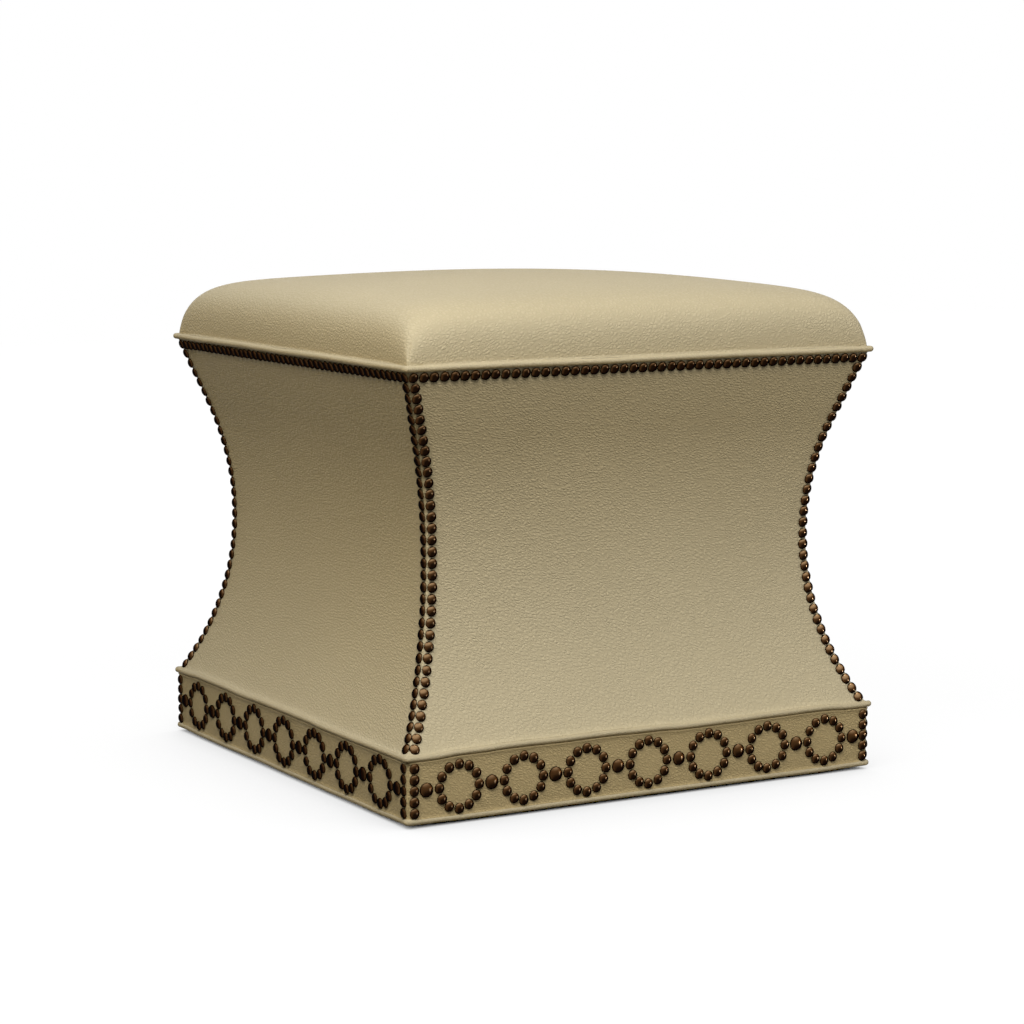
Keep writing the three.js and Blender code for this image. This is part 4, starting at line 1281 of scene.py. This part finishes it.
def timber_finish(name, axis, pale, dark, plies=False):
    """Unfinished timber whose grain runs along an axis, with glue lines or without."""
    material, tree, shader, where = new_material(name)
    grain = add(tree, "ShaderNodeGroup", {"Vector": where, "Stretch": ALONG[axis], "Pale": pale,
                                          "Dark": dark}, node_tree=wood_group).outputs
    colour = grain["Colour"]
    if plies:
        layers = calc(tree, "FRACT", calc(tree, "DIVIDE", z_of(tree, where), PLY))
        glue = stretch(tree, layers, 0.0, 0.12, 0.45, 0.0)
        colour = blend_colours(tree, glue, colour, srgb(110, 78, 48))
    surface(tree, shader, colour, stretch(tree, grain["Height"], 0.0, 1.0, 0.8, 0.62),
            grain["Height"], 0.0002)
    return material


hardwood = {axis: timber_finish("hardwood_along_" + axis, axis, *HARDWOOD) for axis in "xyz"}
face_ply = {axis: timber_finish("bent_plywood_along_" + axis, axis, *PLYWOOD) for axis in "xy"}
deck_ply = timber_finish("deck_plywood", "x", *PLYWOOD, plies=True)
print("wood finishes:", len(hardwood) + len(face_ply) + 1)

# %% [markdown]
# ## Dressing the frame
# The solids of the frame stay as they are and only take a finish. Rails and boards run along
# their side of the stool, posts and ribs stand upright.


# %% Frame finishes
def refinish(name, material):
    """Puts a finish in a solid's material slots."""
    node = frame["nodes"][name]
    if not node.material_slots:
        node.data.materials.append(material)
    for slot in node.material_slots:
        slot.material = material


for turn, side in enumerate(SIDES):
    run = "xy"[turn % 2]
    for part in ("top_rail_", "base_rail_", "plinth_board_"):
        refinish(part + side, hardwood[run])
    refinish("side_rib_" + side, hardwood["z"])
    refinish("side_panel_" + side, face_ply[run])
for corner in CORNERS:
    refinish("corner_post_" + corner, hardwood["z"])
    refinish("deck_screw_" + corner, steel)
refinish("seat_deck", deck_ply)
print("frame: timber on 20 solids, plywood on 5, steel on 4")

# %% [markdown]
# ## Putting the pieces on the stool
# Every new piece rides on the stool's one body and stands in for the plain solid it replaces,
# which is hidden. The staples replace nothing, because the frame has none.

# %% Fit the pieces
fits = []
for side, cover, felt, plinth, body, band in zip(SIDES, side_covers, felt_sides, plinth_covers,
                                                 body_nails, plinth_nails):
    fits += [(cover, "side_cover_" + side, "leather"), (felt, "side_padding_" + side, "felt"),
             (plinth, "plinth_cover_" + side, "leather"),
             (body, "body_nails_" + side, "nail_bronze"),
             (band, "plinth_nails_" + side, "nail_bronze")]
fits += [(glide, "glide_" + corner, "glide_nylon") for corner, glide in zip(CORNERS, glides)]
fits += [(seat_cover, "top_cover", "leather"), (fibre_wrap, "fibre_wrap", "fibre"),
         (foam_block, "seat_foam", "foam"), (dust_cloth, "dust_cover", "dust_cloth")]
fits += [(piece, level + "_welt", "leather") for level, piece in welts.items()]
for piece, node, finish in fits:
    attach(piece, "root")
    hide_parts(node)
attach(staples, "root")
print("fitted:", len(fits) + 1, "pieces")

# %% [markdown]
# ## Camera
# The stool is seen from a little above, turned so that the front fills the right of the picture.
# A long lens from three metres keeps the upright edges nearly parallel.

# %% Camera
CAMERA_TURN = math.radians(-29.97)
CAMERA_RISE = math.radians(7.36)
CAMERA_DISTANCE = 3.0497
CAMERA_TARGET = Vector((-0.0002, 0.0002, 0.2546))
CAMERA_LENS = 101.57  # millimetres, on a sensor 36 wide


def place_and_aim(name, data, place, target):
    """Object at a place whose -Z looks at a target."""
    holder = bpy.data.objects.new(name, data)
    holder.location = place
    holder.rotation_mode = "QUATERNION"
    holder.rotation_quaternion = (Vector(target) - Vector(place)).to_track_quat("-Z", "Y")
    bpy.context.scene.collection.objects.link(holder)
    return holder


away = Vector((math.sin(CAMERA_TURN) * math.cos(CAMERA_RISE),
               -math.cos(CAMERA_TURN) * math.cos(CAMERA_RISE), math.sin(CAMERA_RISE)))
camera_data = bpy.data.cameras.new("camera")
camera_data.lens = CAMERA_LENS
camera_data.sensor_width = 36.0
camera = place_and_aim("camera", camera_data, CAMERA_TARGET + away * CAMERA_DISTANCE,
                       CAMERA_TARGET)
bpy.context.scene.camera = camera
print("camera at", [round(c, 3) for c in camera.location])

# %% [markdown]
# ## Studio
# The background is plain white to the camera, in reflections and through glass, while the light
# that falls on the stool comes from a soft sky that is brightest above the near corner, and from
# soft boxes and a low key lamp. A low fill keeps the back from going black. Most of the boxes are
# hidden from metal, where they would show as pale squares. The floor looks white too and throws
# back little light. The stool's soft shadow on it is painted into its glow where it is closed in,
# with a faint real shadow added, and the glow is painted a little darker close to the stool.

# %% World
SKY_STRENGTH = 0.40
SKY_TOWARDS = (-0.5, -0.5, 0.707)
SKY_FOCUS = 4.0  # how closely the light gathers round that direction
WHITE = (1.0, 1.0, 1.0, 1.0)


def seen_plainly(tree):
    """1 for rays from the camera, from mirrors and through glass, 0 for the light that falls."""
    rays = add(tree, "ShaderNodeLightPath").outputs
    seen = calc(tree, "MAXIMUM", rays["Is Camera Ray"], rays["Is Glossy Ray"])
    return calc(tree, "MAXIMUM", seen, rays["Is Transmission Ray"])


def emptied_tree(owner):
    """Node tree of a world or a material, without its nodes."""
    owner.use_nodes = True
    owner.node_tree.nodes.clear()
    return owner.node_tree


def end_in(tree, output, fallen, seen):
    """Ends a tree in one shader for the light that falls and another for what is seen."""
    chosen = add(tree, "ShaderNodeMixShader", {0: seen_plainly(tree), 1: fallen.outputs[0],
                                               2: seen.outputs[0]})
    add(tree, output, {"Surface": chosen.outputs[0]})


world = bpy.data.worlds.new("studio")
bpy.context.scene.world = world
tree = emptied_tree(world)
direction = add(tree, "ShaderNodeTexCoord").outputs["Generated"]
towards = calc(tree, "MAXIMUM", vector_calc(tree, "DOT_PRODUCT", direction, SKY_TOWARDS), 0.0)
lit = calc(tree, "MULTIPLY", calc(tree, "POWER", towards, SKY_FOCUS), SKY_STRENGTH)
sky = add(tree, "ShaderNodeBackground", {"Color": WHITE, "Strength": lit})
plain = add(tree, "ShaderNodeBackground", {"Color": WHITE, "Strength": 1.0})
end_in(tree, "ShaderNodeOutputWorld", sky, plain)
print("world:", len(tree.nodes), "nodes")

# %% Floor
FLOOR_HALF = 6.0
# painted shade: the floor's glow is a little darker close to the stool
GLOW_NEAR, GLOW_FAR = 0.965, 1.0  # close to the stool and well away from it
NEAR, FAR = 0.5, 1.8
SHADOW_REACH = 0.24
SHADOW = 0.75
CONTACT_SHADOW = 0.3  # added where the floor is closed in tightly

corners = [(x * FLOOR_HALF, y * FLOOR_HALF, 0) for x, y in ((-1, -1), (1, -1), (1, 1), (-1, 1))]
floor = new_piece("studio_floor", corners, [(0, 1, 2, 3)])
floor_finish = bpy.data.materials.new("studio_floor")
tree = emptied_tree(floor_finish)
# painted shadow: the glow is lowered where the floor is closed in by the stool, and more at contact
open_sky = add(tree, "ShaderNodeAmbientOcclusion", {"Distance": SHADOW_REACH},
               samples=8).outputs["AO"]
closed_in = calc(tree, "POWER", calc(tree, "SUBTRACT", 1.0, open_sky), 2.0)
shadow = plus(tree, calc(tree, "MULTIPLY", closed_in, SHADOW),
              calc(tree, "POWER", closed_in, 6.0), CONTACT_SHADOW)
away = vector_calc(tree, "LENGTH", add(tree, "ShaderNodeTexCoord").outputs["Object"])
glow = stretch(tree, away, NEAR, FAR, GLOW_NEAR, GLOW_FAR)
bright = add(tree, "ShaderNodeEmission",
             {"Color": WHITE, "Strength": calc(tree, "SUBTRACT", glow, shadow)})
catch = add(tree, "ShaderNodeBsdfDiffuse", {"Color": (0.05, 0.05, 0.05, 1.0)})
white = add(tree, "ShaderNodeAddShader", {0: bright.outputs[0], 1: catch.outputs[0]})
dim = add(tree, "ShaderNodeBsdfDiffuse", {"Color": (0.12, 0.12, 0.12, 1.0)})
end_in(tree, "ShaderNodeOutputMaterial", dim, white)
dress([floor], floor_finish)
print("floor:", len(tree.nodes), "nodes")

# %% Lamps
LAMP_TARGET = (0, 0, 0.25)
LAMPS = (  # name, place, size in metres, power in watts, and whether metal mirrors it
    ("front_softbox", (-0.6, -1.9, 2.1), 1.0, 31.0, False),
    ("corner_softbox", (-1.1, -1.45, 2.45), 1.0, 20.5, False),
    ("left_softbox", (-1.6, -0.9, 2.2), 1.0, 28.5, False),
    ("top_softbox", (0.9, -0.2, 2.2), 0.7, 4.5, True),
    ("key_lamp", (1.9, -1.55, 0.12), 0.2, 8.0, True),
    ("back_fill", (0.9, 2.4, 0.45), 1.2, 20.0, False))
for name, place, size, power, mirrored in LAMPS:
    light = bpy.data.lights.new(name, "AREA")
    light.size = size
    light.energy = power
    lamp = place_and_aim(name, light, place, LAMP_TARGET)
    lamp.visible_camera = False
    lamp.visible_glossy = mirrored
bpy.context.scene.view_settings.view_transform = "Standard"
print("lamps:", len(LAMPS))
